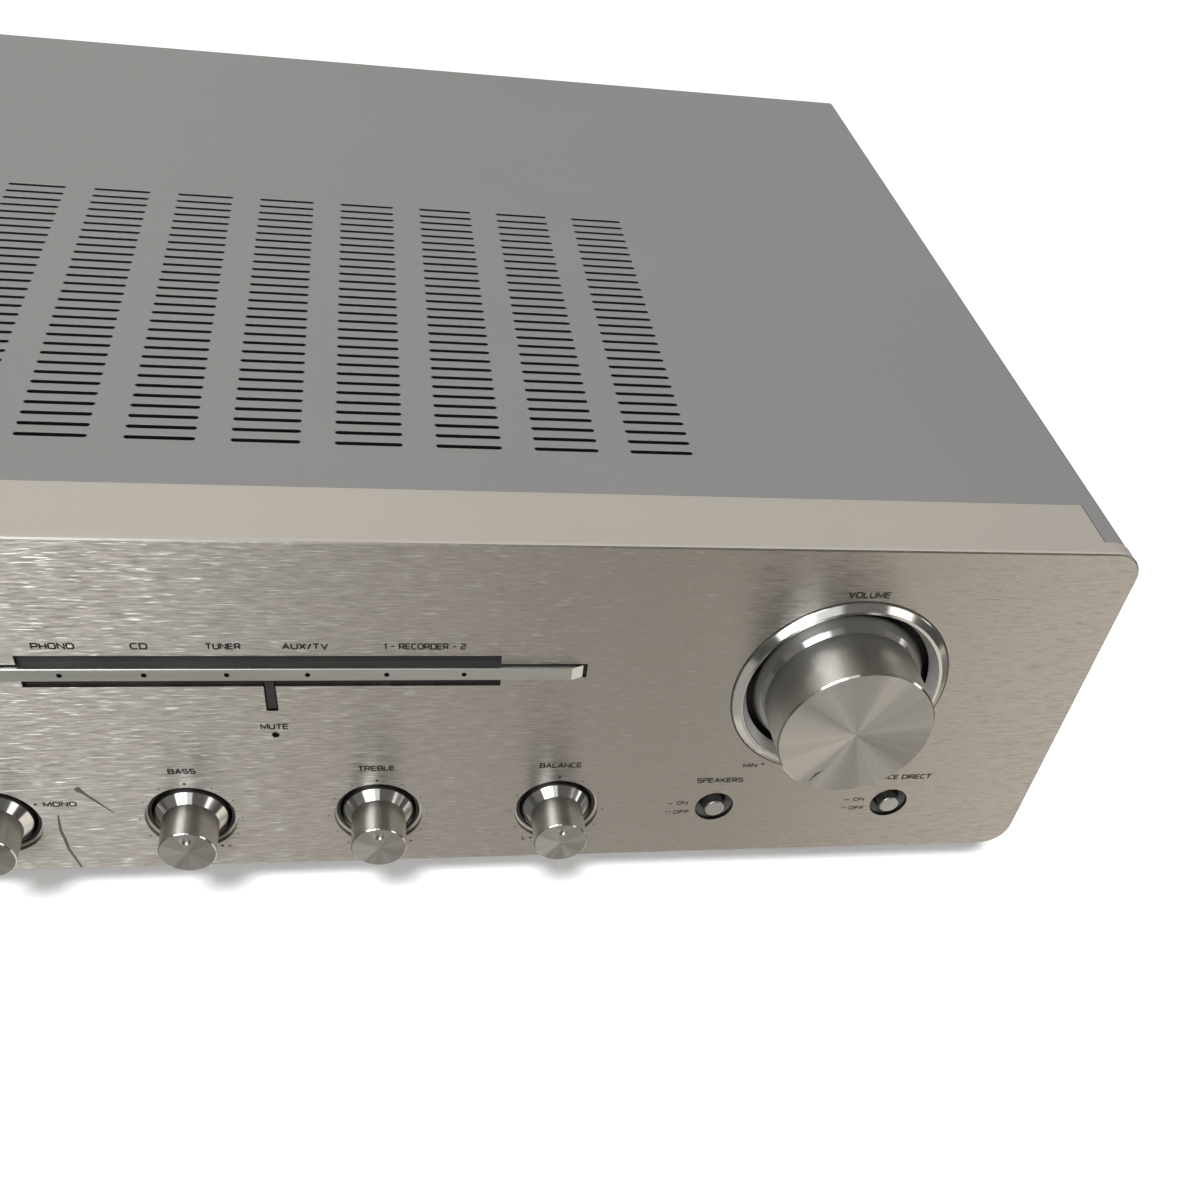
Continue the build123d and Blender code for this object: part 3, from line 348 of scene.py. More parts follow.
def satin_bar(name):
    """The indicator bar: satin aluminium drawn along its length."""
    look = Surface(name, metallic=1.0, anisotropic=0.5)
    look.tangent((0.0, 0.0, 1.0))
    drawn = look.noise((40, 1500, 1500))
    look.put("Base Color", look.shade((0.62, 0.63, 0.60), drawn, 0.04))
    look.put("Roughness", look.spread(drawn, USUAL_NOISE, (0.30, 0.36)))
    look.bump(drawn, 0.002 * MM)
    return look.material


def zinc_steel(name):
    """Zinc-plated sheet with soft spangle."""
    look = Surface(name, metallic=1.0)
    spangle = look.cells((120, 120, 120)).outputs["Color"]
    value = look.add("ShaderNodeRGBToBW")
    look.join(value.inputs[0], spangle)
    fine = look.noise((700, 700, 700))
    look.put("Base Color", look.shade((0.60, 0.61, 0.62), value.outputs[0], 0.10, before=(0.0, 1.0)))
    look.put("Roughness", look.spread(value.outputs[0], (0.0, 1.0), (0.30, 0.42)))
    look.bump(fine, 0.01 * MM)
    return look.material


def plated_contacts(name):
    """Bright plating with slight tarnish clouds."""
    look = Surface(name, metallic=1.0)
    cloud = look.noise((180, 180, 180), detail=3.0)
    tarnish = look.spread(cloud, (0.35, 0.7), (0, 1))
    look.put("Base Color", look.mix(tarnish, (0.78, 0.77, 0.74), (0.62, 0.58, 0.50)))
    look.put("Roughness", look.spread(cloud, USUAL_NOISE, (0.16, 0.28)))
    look.bump(look.noise((3000, 3000, 3000)), 0.002 * MM)
    return look.material


# ---------------------------------------------------------------- paint and plastic

class Paint(Surface):
    """Sprayed paint: fine orange peel, faint clouds and very fine specks."""

    def __init__(self, name, colour, roughness, metallic, patch):
        super().__init__(name, metallic=metallic)
        speck = self.noise((4500, 4500, 4500), detail=1.0)
        cloud = self.noise((22, 22, 22), detail=3.0)
        mottle = self.math("ADD", self.math("MULTIPLY", speck, 0.5), self.math("MULTIPLY", cloud, 0.5))
        self.colour = self.shade(colour, mottle, patch)
        self.peel = self.noise((1100, 1100, 1100), detail=2.0)
        self.put("Base Color", self.colour)
        self.put("Roughness", self.spread(cloud, USUAL_NOISE, roughness))


def sprayed(name, colour, roughness, metallic=0.0, peel=0.006, patch=0.03):
    """Plain sprayed paint."""
    look = Paint(name, colour, (roughness - 0.03, roughness + 0.04), metallic, patch)
    look.bump(look.peel, peel * MM)
    return look.material


COVER_METALLIC = 0.35
COVER_MARGIN = 10.0                # the slots keep this far from the cover's edges, in millimetres
SLOT_SHADE = (0.12, 0.22)          # depths between which the slot walls turn dark with painted shade, in millimetres


def cover_paint(name):
    """Grey paint of the top cover; below their rounded edge the slot walls and the cover's inside faces
    are painted near-black as shade.
    """
    low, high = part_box("top_cover")
    look = Paint(name, COVER_COLOUR, (0.46, 0.54), COVER_METALLIC, 0.03)
    place = look.axes()
    margin = COVER_MARGIN * MM
    inside = look.math(
        "MULTIPLY",
        between(look, place["X"], (low.x + margin, high.x - margin), MM),
        between(look, place["Y"], (low.y + margin, high.y - margin), MM),
    )
    upper, lower = (high.z - depth * MM for depth in SLOT_SHADE)
    slot_shade_depth = look.spread(place["Z"], (lower, upper), (1.0, 0.0))
    # painted shade: below the rounded edge, the slot walls and the cover's inside faces take a
    # near-black colour
    shaded_wall = look.math("MULTIPLY", slot_shade_depth, inside)
    look.put("Base Color", look.mix(shaded_wall, look.colour, SLOT_WALL_SHADE_COLOUR))
    look.put("Metallic", look.blend(shaded_wall, 0.0, COVER_METALLIC))
    look.bump(look.peel, 0.010 * MM, normal=look.worn_edges(0.35))
    return look.material


def moulded(name, colour, roughness=0.5, grain=700, depth=0.012):
    """Moulded plastic with a fine spark-eroded grain and uneven sheen."""
    look = Surface(name)
    fine = look.noise((grain, grain, grain), detail=3.0)
    cloud = look.noise((60, 60, 60), detail=2.0)
    look.put("Base Color", look.shade(colour, cloud, 0.12))
    look.put("Roughness", look.spread(cloud, USUAL_NOISE, (roughness - 0.06, roughness + 0.06)))
    look.bump(fine, depth * MM)
    return look.material


def rubber(name):
    """Black rubber with grey dust."""
    look = Surface(name)
    dust = look.noise((400, 400, 400), detail=4.0)
    dusty = look.spread(dust, (0.55, 0.75), (0, 1))
    look.put("Base Color", look.mix(dusty, (0.02, 0.02, 0.02), (0.07, 0.065, 0.06)))
    look.put("Roughness", look.spread(dust, USUAL_NOISE, (0.75, 0.95)))
    look.bump(dust, 0.03 * MM)
    return look.material


def jack_plastic(name):
    """Black block whose jack insulators are white in the upper row and red in the lower one."""
    look = Surface(name)
    cloud = look.noise((80, 80, 80), detail=2.0)
    outside = look.spread(look.axes()["Y"], (BACK_Y + 1.2 * MM, BACK_Y + 1.3 * MM), (0.0, 1.0))
    middle = centre("input_jack_block").z
    upper = look.spread(look.axes()["Z"], (middle, middle + MM), (0, 1))
    insert = look.mix(upper, (0.45, 0.03, 0.025), (0.72, 0.71, 0.68))
    look.put("Base Color", look.mix(outside, look.shade((0.022, 0.022, 0.024), cloud, 0.15), insert))
    look.put("Roughness", look.spread(cloud, USUAL_NOISE, (0.38, 0.5)))
    look.bump(look.noise((900, 900, 900)), 0.008 * MM)
    return look.material


def smoked_window(name):
    """Dark red-black window of the remote sensor."""
    look = Surface(name, coat_weight=0.6, coat_roughness=0.05)
    cloud = look.noise((300, 300, 300))
    look.put("Base Color", look.shade((0.018, 0.006, 0.008), cloud, 0.2))
    look.put("Roughness", look.spread(cloud, USUAL_NOISE, (0.12, 0.18)))
    look.bump(cloud, 0.001 * MM)
    return look.material


def circuit_board(name):
    """Green solder mask over faint copper tracks."""
    look = Surface(name, coat_weight=0.3, coat_roughness=0.2)
    tracks = look.cells((260, 260, 260), feature="DISTANCE_TO_EDGE").outputs["Distance"]
    line = look.spread(tracks, (0.05, 0.09), (1.0, 0.0))
    weave = look.noise((2500, 2500, 2500))
    mask = look.shade((0.018, 0.10, 0.04), weave, 0.2)
    look.put("Base Color", look.mix(line, mask, (0.03, 0.17, 0.06)))
    look.put("Roughness", look.spread(weave, USUAL_NOISE, (0.35, 0.45)))
    look.bump(line, 0.03 * MM)
    return look.material


def laminations(name):
    """Stack of thin steel sheets seen on edge, lightly rusted."""
    look = Surface(name, metallic=0.7)
    sheets = look.noise((4, 2200, 4), detail=1.0)
    rust = look.spread(look.noise((90, 90, 90), detail=4.0), (0.5, 0.75), (0, 0.6))
    steel = look.shade((0.16, 0.155, 0.15), sheets, 0.3)
    look.put("Base Color", look.mix(rust, steel, (0.16, 0.08, 0.045)))
    look.put("Roughness", look.spread(sheets, USUAL_NOISE, (0.4, 0.6)))
    look.bump(sheets, 0.06 * MM)
    return look.material


def winding(name):
    """Varnished paper tape round the winding, with its overlaps."""
    look = Surface(name, coat_weight=0.2, coat_roughness=0.3)
    laps = look.noise((3, 3, 260), detail=1.0)
    stain = look.noise((50, 50, 50), detail=3.0)
    varnish = look.spread(stain, USUAL_NOISE, (0, 1))
    look.put("Base Color", look.mix(varnish, (0.50, 0.36, 0.14), (0.36, 0.22, 0.08)))
    look.put("Roughness", look.spread(stain, USUAL_NOISE, (0.4, 0.55)))
    look.bump(laps, 0.15 * MM)
    return look.material


MATERIALS = {
    "brushed_aluminium": brushed_aluminium,
    "champagne_paint": lambda n: sprayed(n, PAINT_COLOUR, 0.42, metallic=0.5, peel=0.004, patch=0.02),
    "turned_aluminium": turned_aluminium,
    "bright_ring": bright_ring,
    "satin_bar": satin_bar,
    "button_metal": lambda n: satin_metal(n, (0.46, 0.455, 0.44), 0.34),
    "grey_paint": cover_paint,
    "zinc_steel": zinc_steel,
    "rear_paint": lambda n: sprayed(n, (0.035, 0.035, 0.037), 0.5, peel=0.012, patch=0.1),
    "screw_black": lambda n: satin_metal(n, (0.06, 0.06, 0.065), 0.38),
    "screw_zinc": lambda n: satin_metal(n, (0.66, 0.63, 0.50), 0.33),
    "black_plastic": lambda n: moulded(n, (0.016, 0.014, 0.013)),
    "funnel_plastic": lambda n: moulded(n, (0.055, 0.055, 0.052), 0.42),
    "foot_plastic": lambda n: moulded(n, (0.025, 0.025, 0.026), 0.5, grain=500, depth=0.02),
    "pad_rubber": rubber,
    "sensor_plastic": smoked_window,
    "jack_plastic": jack_plastic,
    "plated_contacts": plated_contacts,
    "cap_red": lambda n: moulded(n, (0.42, 0.018, 0.015), 0.35),
    "cap_black": lambda n: moulded(n, (0.02, 0.02, 0.022), 0.35),
    "ground_metal": lambda n: satin_metal(n, (0.70, 0.69, 0.66), 0.28),
    "inlet_plastic": lambda n: moulded(n, (0.018, 0.018, 0.019), 0.45),
    "shaft_steel": lambda n: satin_metal(n, (0.55, 0.55, 0.55), 0.3),
    "gear_plastic": lambda n: moulded(n, (0.62, 0.60, 0.52), 0.4),
    "control_body": lambda n: satin_metal(n, (0.58, 0.57, 0.55), 0.4),
    "switch_plastic": lambda n: moulded(n, (0.10, 0.10, 0.11), 0.4),
    "board_green": circuit_board,
    "laminations": laminations,
    "winding": winding,
    "heat_sink": lambda n: satin_metal(n, (0.12, 0.12, 0.125), 0.42, grain=(300, 300, 2500)),
    "device_black": lambda n: moulded(n, (0.02, 0.02, 0.021), 0.4),
    "capacitor_sleeve": lambda n: moulded(n, (0.02, 0.035, 0.07), 0.28),
    "spacer_metal": lambda n: satin_metal(n, (0.66, 0.60, 0.42), 0.3),
}


def dress_frame():
    """Gives every CAD node the material of its slot in the record."""
    made = {slot: make(slot) for slot, make in MATERIALS.items()}
    for row in frame["record"]["subparts"]:
        mesh = frame["nodes"][row["node"]].data
        mesh.materials.clear()
        mesh.materials.append(made[row["material_slot"]])


# ---------------------------------------------------------------- printed marks

CAP_H = 2.0                  # height of the panel's capitals, in millimetres
STROKE = 0.44                # width of their strokes
SIDE_CAP_H = 1.7             # height of the words beside a knob
STATE_CAP_H = 1.5            # height of the words beside a button
UNITS_HIGH = 6               # height of the letters as drawn in GLYPHS
MITRE_LIMIT = 0.45           # keeps the corners of sharp letters short
INK_BACK = 0.004             # gap between ink and panel
INK_FRONT = 0.020
SMALL_LABEL_RISE = 18.1      # from a small knob's centre up to its name
BIG_LABEL_RISE = 31.9        # the same for a large knob
BUTTON_LABEL_RISE = 11.0     # the same for a button or the headphone socket
MODE_LABEL_RISE = 6.6        # from the mode knob's centre up to its two positions' names
LAMP_PITCH = 19.1
LAMP_LABEL_RISE = 8.0        # from the bar's middle up to the sources' names
MUTE_LABEL_DROP = 18.35      # from the bar's middle down to the mute lamp's name
DIAL_R = 13.4                # radius of a small knob's scale
DIAL_STEPS = 10
DIAL_SWEEP = 300.0           # degrees from end to end of the scale
LARGE_DOT_R = 0.42
SMALL_DOT_R = 0.23
END_GAP = 2.0                # from the scale's end to its sign
END_SIGN = 0.5               # half the size of a plus or minus
END_STROKE = 0.24
MODE_STOP = 60.0             # the mode knob's positions, degrees from the top
VOLUME_DOT_R = 31.9
VOLUME_STOP = 150.0          # the volume knob's stops, degrees from the top
RING_R = 29.5                # outer radius of the rings round the large knobs
SHADOW_LINE = 0.55                  # width of the painted shadow line outside them


# Plain capitals drawn with single strokes, six units high; a third number on a point rounds its corner
LETTER_GAP = 2.3
GLYPHS = {
    " ": (2.6, []),
    "-": (4.0, [[(0, 3), (4, 3)]]),
    "+": (4.0, [[(0, 3), (4, 3)], [(2, 1), (2, 5)]]),
    "/": (3.6, [[(0, -0.4), (3.6, 6.4)]]),
    "1": (1.8, [[(0, 4.7), (1.8, 6), (1.8, 0)]]),
    "2": (5.8, [[(0, 6), (5.8, 6, 1.5), (5.8, 3.1, 1.5), (0, 3.1, 1.5), (0, 0), (5.8, 0)]]),
    "A": (6.8, [[(0, 0), (3.4, 6), (6.8, 0)], [(1.2, 2.0), (5.6, 2.0)]]),
    "B": (6.2, [[(0, 3.1), (0, 6), (5.8, 6, 1.4), (5.8, 3.1, 1.4), (0, 3.1), (0, 0), (6.2, 0, 1.5),
                 (6.2, 3.1, 1.5), (4.4, 3.1)]]),
    "C": (6.4, [[(6.4, 6), (0, 6, 2.2), (0, 0, 2.2), (6.4, 0)]]),
    "D": (6.6, [[(0, 3), (0, 6), (6.6, 6, 2.4), (6.6, 0, 2.4), (0, 0), (0, 3)]]),
    "E": (5.8, [[(5.8, 6), (0, 6), (0, 0), (5.8, 0)], [(0, 3.1), (5.4, 3.1)]]),
    "F": (5.6, [[(5.6, 6), (0, 6), (0, 0)], [(0, 3.0), (5.0, 3.0)]]),
    "G": (6.6, [[(6.6, 6), (0, 6, 2.2), (0, 0, 2.2), (6.6, 0, 0.6), (6.6, 2.9), (3.8, 2.9)]]),
    "H": (6.2, [[(0, 0), (0, 6)], [(6.2, 0), (6.2, 6)], [(0, 3.1), (6.2, 3.1)]]),
    "I": (0.4, [[(0.2, 0), (0.2, 6)]]),
    "K": (6.2, [[(0, 0), (0, 6)], [(6.0, 6), (0.2, 2.5)], [(2.2, 3.7), (6.2, 0)]]),
    "L": (5.2, [[(0, 6), (0, 0), (5.2, 0)]]),
    "M": (7.6, [[(0, 0), (0, 6), (3.8, 1.0), (7.6, 6), (7.6, 0)]]),
    "N": (6.4, [[(0, 0), (0, 6), (6.4, 0), (6.4, 6)]]),
    "O": (7.0, [[(3.5, 6), (7, 6, 2.4), (7, 0, 2.4), (0, 0, 2.4), (0, 6, 2.4), (3.5, 6)]]),
    "P": (6.0, [[(0, 0), (0, 6), (6, 6, 1.6), (6, 2.5, 1.6), (0, 2.5)]]),
    "R": (6.2, [[(0, 0), (0, 6), (6, 6, 1.6), (6, 2.6, 1.6), (0, 2.6)], [(3.6, 2.6), (6.2, 0)]]),
    "S": (6.2, [[(6.0, 6), (0, 6, 1.5), (0, 3.1, 1.5), (6.2, 3.1, 1.5), (6.2, 0, 1.5), (0, 0)]]),
    "T": (6.4, [[(0, 6), (6.4, 6)], [(3.2, 6), (3.2, 0)]]),
    "U": (6.4, [[(0, 6), (0, 0, 2.2), (6.4, 0, 2.2), (6.4, 6)]]),
    "V": (6.8, [[(0, 6), (3.4, 0), (6.8, 6)]]),
    "W": (9.2, [[(0, 6), (2.3, 0), (4.6, 6), (6.9, 0), (9.2, 6)]]),
    "X": (6.2, [[(0, 0), (6.2, 6)], [(0, 6), (6.2, 0)]]),
}


def rounded(points, steps=4):
    """A stroke's points, with each corner that has a radius replaced by a curve."""
    result = []
    for i, point in enumerate(points):
        corner = Vector(point[:2])
        if len(point) == 2:
            result.append(corner)
            continue
        before = (Vector(points[i - 1][:2]) - corner).normalized() * point[2]
        after = (Vector(points[i + 1][:2]) - corner).normalized() * point[2]
        for step in range(steps + 1):
            t = step / steps
            result.append(corner + before * (1 - t) ** 2 + after * t ** 2)
    return result


def circle(x, z, radius, sides):
    """Points round a circle."""
    turns = [2 * math.pi * i / sides for i in range(sides)]
    return [(x + radius * math.cos(t), z + radius * math.sin(t)) for t in turns]


class Print:
    """Marks printed on an upright face, drawn in millimetres from a point on that face."""

    def __init__(self, name, origin, facing):
        self.name = name
        self.mesh = bmesh.new()
        across = Vector((-facing, 0.0, 0.0))
        self.place = Matrix.Translation(origin) @ Matrix(
            ((across.x * MM, 0, 0, 0), (0, 0, facing * MM, 0), (0, MM, 0, 0), (0, 0, 0, 1))
        )

    def keep(self, part):
        """Adds a flat mesh at INK_BACK and gives it the ink's thickness."""
        bmesh.ops.translate(part, verts=part.verts, vec=(0, 0, INK_FRONT))
        faces = bmesh.ops.extrude_face_region(part, geom=part.faces[:])
        lower = [v for v in faces["geom"] if isinstance(v, bmesh.types.BMVert)]
        bmesh.ops.translate(part, verts=lower, vec=(0, 0, INK_BACK - INK_FRONT))
        bmesh.ops.recalc_face_normals(part, faces=part.faces[:])
        scratch = bpy.data.meshes.new("scratch")
        part.to_mesh(scratch)
        self.mesh.from_mesh(scratch)
        bpy.data.meshes.remove(scratch)
        part.free()

    def word(self, text, x, z, width, height=CAP_H):
        """A word centred at a place, stretched to a width and height."""
        length = sum(GLYPHS[letter][0] for letter in text) + LETTER_GAP * (len(text) - 1)
        weight = STROKE * height / CAP_H
        scale_x = (width - weight) / length
        scale_z = (height - weight) / UNITS_HIGH
        start = x - scale_x * length / 2
        for letter in text:
            advance, strokes = GLYPHS[letter]
            for stroke in strokes:
                places = []
                for point in rounded(stroke):
                    places.append((start + point.x * scale_x, z + (point.y - UNITS_HIGH / 2) * scale_z))
                self.line(places, [weight] * len(places))
            start += (advance + LETTER_GAP) * scale_x

    def shape(self, points):
        """A filled outline."""
        part = bmesh.new()
        part.faces.new([part.verts.new((x, z, 0)) for x, z in points])
        self.keep(part)

    def dot(self, x, z, radius):
        """A round spot."""
        self.shape(circle(x, z, radius, 20))

    def strip(self, first, second, closed=False):
        """A band between two rows of points."""
        part = bmesh.new()
        rows = [[part.verts.new((x, z, 0)) for x, z in row] for row in (first, second)]
        for i in range(0 if closed else 1, len(first)):
            part.faces.new((rows[0][i - 1], rows[1][i - 1], rows[1][i], rows[0][i]))
        self.keep(part)

    def ring(self, x, z, inner, outer):
        """A thin flat ring."""
        self.strip(circle(x, z, inner, 160), circle(x, z, outer, 160), closed=True)

    def line(self, points, widths):
        """A line through points, with a width at each of them and mitred corners."""
        points = [Vector(point) for point in points]
        runs = [(b - a).normalized() for a, b in zip(points, points[1:])]
        left = []
        right = []
        for i, point in enumerate(points):
            before = runs[max(i - 1, 0)]
            after = runs[min(i, len(runs) - 1)]
            along = (before + after).normalized()
            half = widths[i] / 2 / max(along.dot(after), MITRE_LIMIT)
            left.append((point.x - along.y * half, point.y + along.x * half))
            right.append((point.x + along.y * half, point.y - along.x * half))
        self.strip(left, right)

    def finish(self, material):
        """Makes the object and lets it ride on the chassis."""
        data = bpy.data.meshes.new(self.name)
        self.mesh.transform(self.place)
        bmesh.ops.recalc_face_normals(self.mesh, faces=self.mesh.faces[:])
        self.mesh.to_mesh(data)
        self.mesh.free()
        data.materials.append(material)
        piece = bpy.data.objects.new(self.name, data)
        bpy.context.scene.collection.objects.link(piece)
        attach(piece, "chassis")
        return piece


def ink(name, colour, wear=0.25):
    """Screen-printed ink, slightly uneven."""
    look = Surface(name)
    patch = look.noise((1500, 1500, 1500), detail=2.0)
    look.put("Base Color", look.shade(colour, patch, wear))
    look.put("Roughness", look.spread(patch, USUAL_NOISE, (0.45, 0.6)))
    return look.material


def on_panel(point):
    """A frame point as millimetres across the panel and above its bottom edge."""
    return point.x / MM, (point.z - PANEL_BOTTOM) / MM


def clock(x, z, radius, degrees):
    """A point round a centre, clockwise from the top."""
    turn = math.radians(degrees)
    return x + radius * math.sin(turn), z + radius * math.cos(turn)


def print_sources(marks):
    """Names over the row of lamps, and under the mute lamp's stem."""
    bar = (BAR_Z - PANEL_BOTTOM) / MM
    z = bar + LAMP_LABEL_RISE
    marks.word("PHONO", -2.5 * LAMP_PITCH, z, 9.7)
    marks.word("CD", -1.5 * LAMP_PITCH, z, 4.0)
    marks.word("TUNER", -0.5 * LAMP_PITCH, z, 8.3)
    marks.word("AUX/TV", 0.5 * LAMP_PITCH, z, 11.0)
    marks.word("1 - RECORDER - 2", 2 * LAMP_PITCH, z, 20.1)
    marks.word("MUTE", 0, bar - MUTE_LABEL_DROP, 7.1)


def print_dial(marks, name, width, ends):
    """A small knob's name, its scale of dots, and a mark beyond each end of the scale."""
    x, z = on_panel(SMALL_KNOBS[name])
    marks.word(name.upper(), x, z + SMALL_LABEL_RISE, width)
    for step in range(DIAL_STEPS + 1):
        angle = DIAL_SWEEP * (step / DIAL_STEPS - 0.5)
        large = step in (0, DIAL_STEPS // 2, DIAL_STEPS)
        marks.dot(*clock(x, z, DIAL_R, angle), LARGE_DOT_R if large else SMALL_DOT_R)
    for sign, mark in zip((-1, 1), ends):
        end_x, end_z = clock(x, z, DIAL_R, sign * DIAL_SWEEP / 2)
        print_end(marks, mark, end_x + sign * END_GAP, end_z)


def print_end(marks, mark, x, z):
    """L, R, plus or minus at the end of a scale."""
    if mark in "LR":
        marks.word(mark, x, z, 1.2, 1.6)
        return
    marks.line([(x - END_SIGN, z), (x + END_SIGN, z)], [END_STROKE] * 2)
    if mark == "+":
        marks.line([(x, z - END_SIGN), (x, z + END_SIGN)], [END_STROKE] * 2)


def print_mode(marks):
    """The mode knob's name and its two positions."""
    x, z = on_panel(SMALL_KNOBS["mode"])
    marks.word("MODE", x, z + SMALL_LABEL_RISE, 8.0)
    marks.word("STEREO", x - 18.6, z + MODE_LABEL_RISE, 10.2, SIDE_CAP_H)
    marks.word("MONO", x + 17.7, z + MODE_LABEL_RISE, 8.4)
    for angle in (-MODE_STOP, MODE_STOP):
        marks.dot(*clock(x, z, DIAL_R, angle), LARGE_DOT_R)


def print_button(marks, name, title, width):
    """A button's name above it, and its two states to its left, with a sign for each."""
    x, z = on_panel(BUTTONS[name])
    marks.word(title, x, z + BUTTON_LABEL_RISE, width)
    marks.word("ON", x - 9.8, z + 1.8, 3.4, STATE_CAP_H)
    marks.word("OFF", x - 9.6, z - 2.0, 4.8, STATE_CAP_H)
    pressed = z + 1.6
    marks.line([(x - 14.2, pressed), (x - 12.7, pressed)], [0.3, 0.3])
    low = z - 2.3
    high = low + 0.7
    marks.line([(x - 14.2, low), (x - 14.2, high), (x - 12.9, high), (x - 12.9, low)], [0.2] * 4)


def print_volume(marks):
    """The volume knob's name and the two ends of its turn."""
    x, z = on_panel(BIG_KNOBS["volume"])
    marks.word("VOLUME", x - 0.1, z + BIG_LABEL_RISE, 11.4)
    for sign, title in ((-1, "MIN"), (1, "MAX")):
        dot_x, dot_z = clock(x, z, VOLUME_DOT_R, sign * VOLUME_STOP)
        marks.dot(dot_x, dot_z, LARGE_DOT_R)
        marks.word(title, dot_x + sign * 3.6, dot_z - 0.5, 4.2, SIDE_CAP_H)


def print_panel():
    """All lettering on the front panel."""
    marks = Print("panel_lettering", Vector((0, FACE_Y, PANEL_BOTTOM)), -1)
    print_sources(marks)
    print_mode(marks)
    print_dial(marks, "bass", 7.1, "-+")
    print_dial(marks, "treble", 9.9, "-+")
    print_dial(marks, "balance", 11.9, "LR")
    print_volume(marks)
    print_button(marks, "power", "POWER", 9.4)
    print_button(marks, "speaker", "SPEAKERS", 13.8)
    print_button(marks, "direct", "SOURCE DIRECT", 20.7)
    phones = on_panel(centre("headphone_jack"))
    marks.word("PHONES", phones[0], phones[1] + BUTTON_LABEL_RISE, 10.6)
    selector = on_panel(BIG_KNOBS["selector"])
    marks.word("INPUT SELECTOR", selector[0], selector[1] + BIG_LABEL_RISE, 24.0)
    marks.finish(ink("panel_ink", (0.012, 0.010, 0.009)))


def print_ring_shadows():
    """Painted shadow: a dark line drawn as ink between each large ring and the panel."""
    marks = Print("ring_shadows", Vector((0, FACE_Y, PANEL_BOTTOM)), -1)
    for place in BIG_KNOBS.values():
        marks.ring(*on_panel(place), RING_R, RING_R + SHADOW_LINE)
    marks.finish(ink("ring_shadow_ink", (0.02, 0.017, 0.014)))


def print_scratches():
    """Two old scratches on the panel, between the mode and bass knobs."""
    marks = Print("panel_scratches", Vector((0, FACE_Y, PANEL_BOTTOM)), -1)
    marks.line([(-52.2, 32.5), (-51.9, 32.1), (-50.5, 30.3), (-47.4, 26.4), (-44.3, 22.6)],
               [1.3, 1.9, 0.9, 0.7, 0.25])
    marks.line([(-58.6, 22.3), (-59.0, 19.0), (-59.2, 16.0), (-58.8, 12.0), (-58.7, 8.6), (-57.6, 4.0),
                (-56.9, 0.9)], [0.4, 0.7, 0.8, 0.9, 0.8, 0.7, 0.6])
    marks.finish(ink("scratch_grime", (0.07, 0.06, 0.05)))


REAR_CAP_H = 2.4
JACK_CAP_H = 1.9
JACK_PITCH = 20.0
JACK_ROW = 9.0               # from the middle of the block to either row of jacks
JACK_ROW_END = 85.0          # from the middle of the block to the letters beside its rows
JACK_NAMES = (
    ("PHONO", 9.5),
    ("CD", 4.5),
    ("TUNER", 9.0),
    ("AUX/TV", 10.5),
    ("REC 1 IN", 11.5),
    ("REC 1 OUT", 13.5),
    ("REC 2 IN", 11.5),
    ("REC 2 OUT", 13.5),
)
REAR_LABEL_RISE = 20.5       # from the middle of the jack block or the terminals up to the names
POST_SIGN_RISE = 14.5        # the same for a terminal's plus or minus
INLET_LABEL_RISE = 16.5      # the same for the mains inlet
GROUND_LABEL_RISE = 10.5     # the same for the ground terminal
POSTS = (("left_minus", "-"), ("left_plus", "+"), ("right_minus", "-"), ("right_plus", "+"))


def on_rear(node):
    """A node's middle in millimetres, seen from behind: to the right, and above the panel's bottom."""
    middle = centre(node)
    return -middle.x / MM, (middle.z - PANEL_BOTTOM) / MM


def print_rear():
    """White lettering by the rear connectors."""
    marks = Print("rear_lettering", Vector((0, BACK_Y, PANEL_BOTTOM)), 1)
    x, z = on_rear("input_jack_block")
    for i, (name, width) in enumerate(JACK_NAMES):
        column = x + (i - (len(JACK_NAMES) - 1) / 2) * JACK_PITCH
        marks.word(name, column, z + REAR_LABEL_RISE, width, JACK_CAP_H)
    beside = x - JACK_ROW_END
    marks.word("L", beside, z + JACK_ROW, 1.6, REAR_CAP_H)
    marks.word("R", beside, z - JACK_ROW, 1.8, REAR_CAP_H)
    places = []
    for post, sign in POSTS:
        place = on_rear(f"speaker_cap_{post}")
        marks.word(sign, place[0], place[1] + POST_SIGN_RISE, 1.8, REAR_CAP_H)
        places.append(place)
    middle = sum(place[0] for place in places) / len(places)
    marks.word("SPEAKERS", middle, places[0][1] + REAR_LABEL_RISE, 18.0, REAR_CAP_H)
    x, z = on_rear("ac_inlet")
    marks.word("AC IN", x, z + INLET_LABEL_RISE, 9.0, REAR_CAP_H)
    x, z = on_rear("ground_thumbscrew")
    marks.word("GND", x, z + GROUND_LABEL_RISE, 7.0, REAR_CAP_H)
    marks.finish(ink("rear_ink", (0.62, 0.62, 0.60), wear=0.08))


# ---------------------------------------------------------------- stage

CAMERA_AT = Vector((0.03108, -0.3985, 0.29442))
CAMERA_YAW = 0.2722
CAMERA_PITCH = -0.8397
CAMERA_ROLL = 0.1762
CAMERA_LENS = 37.30
CAMERA_SHIFT = (-0.0239, 0.2083)


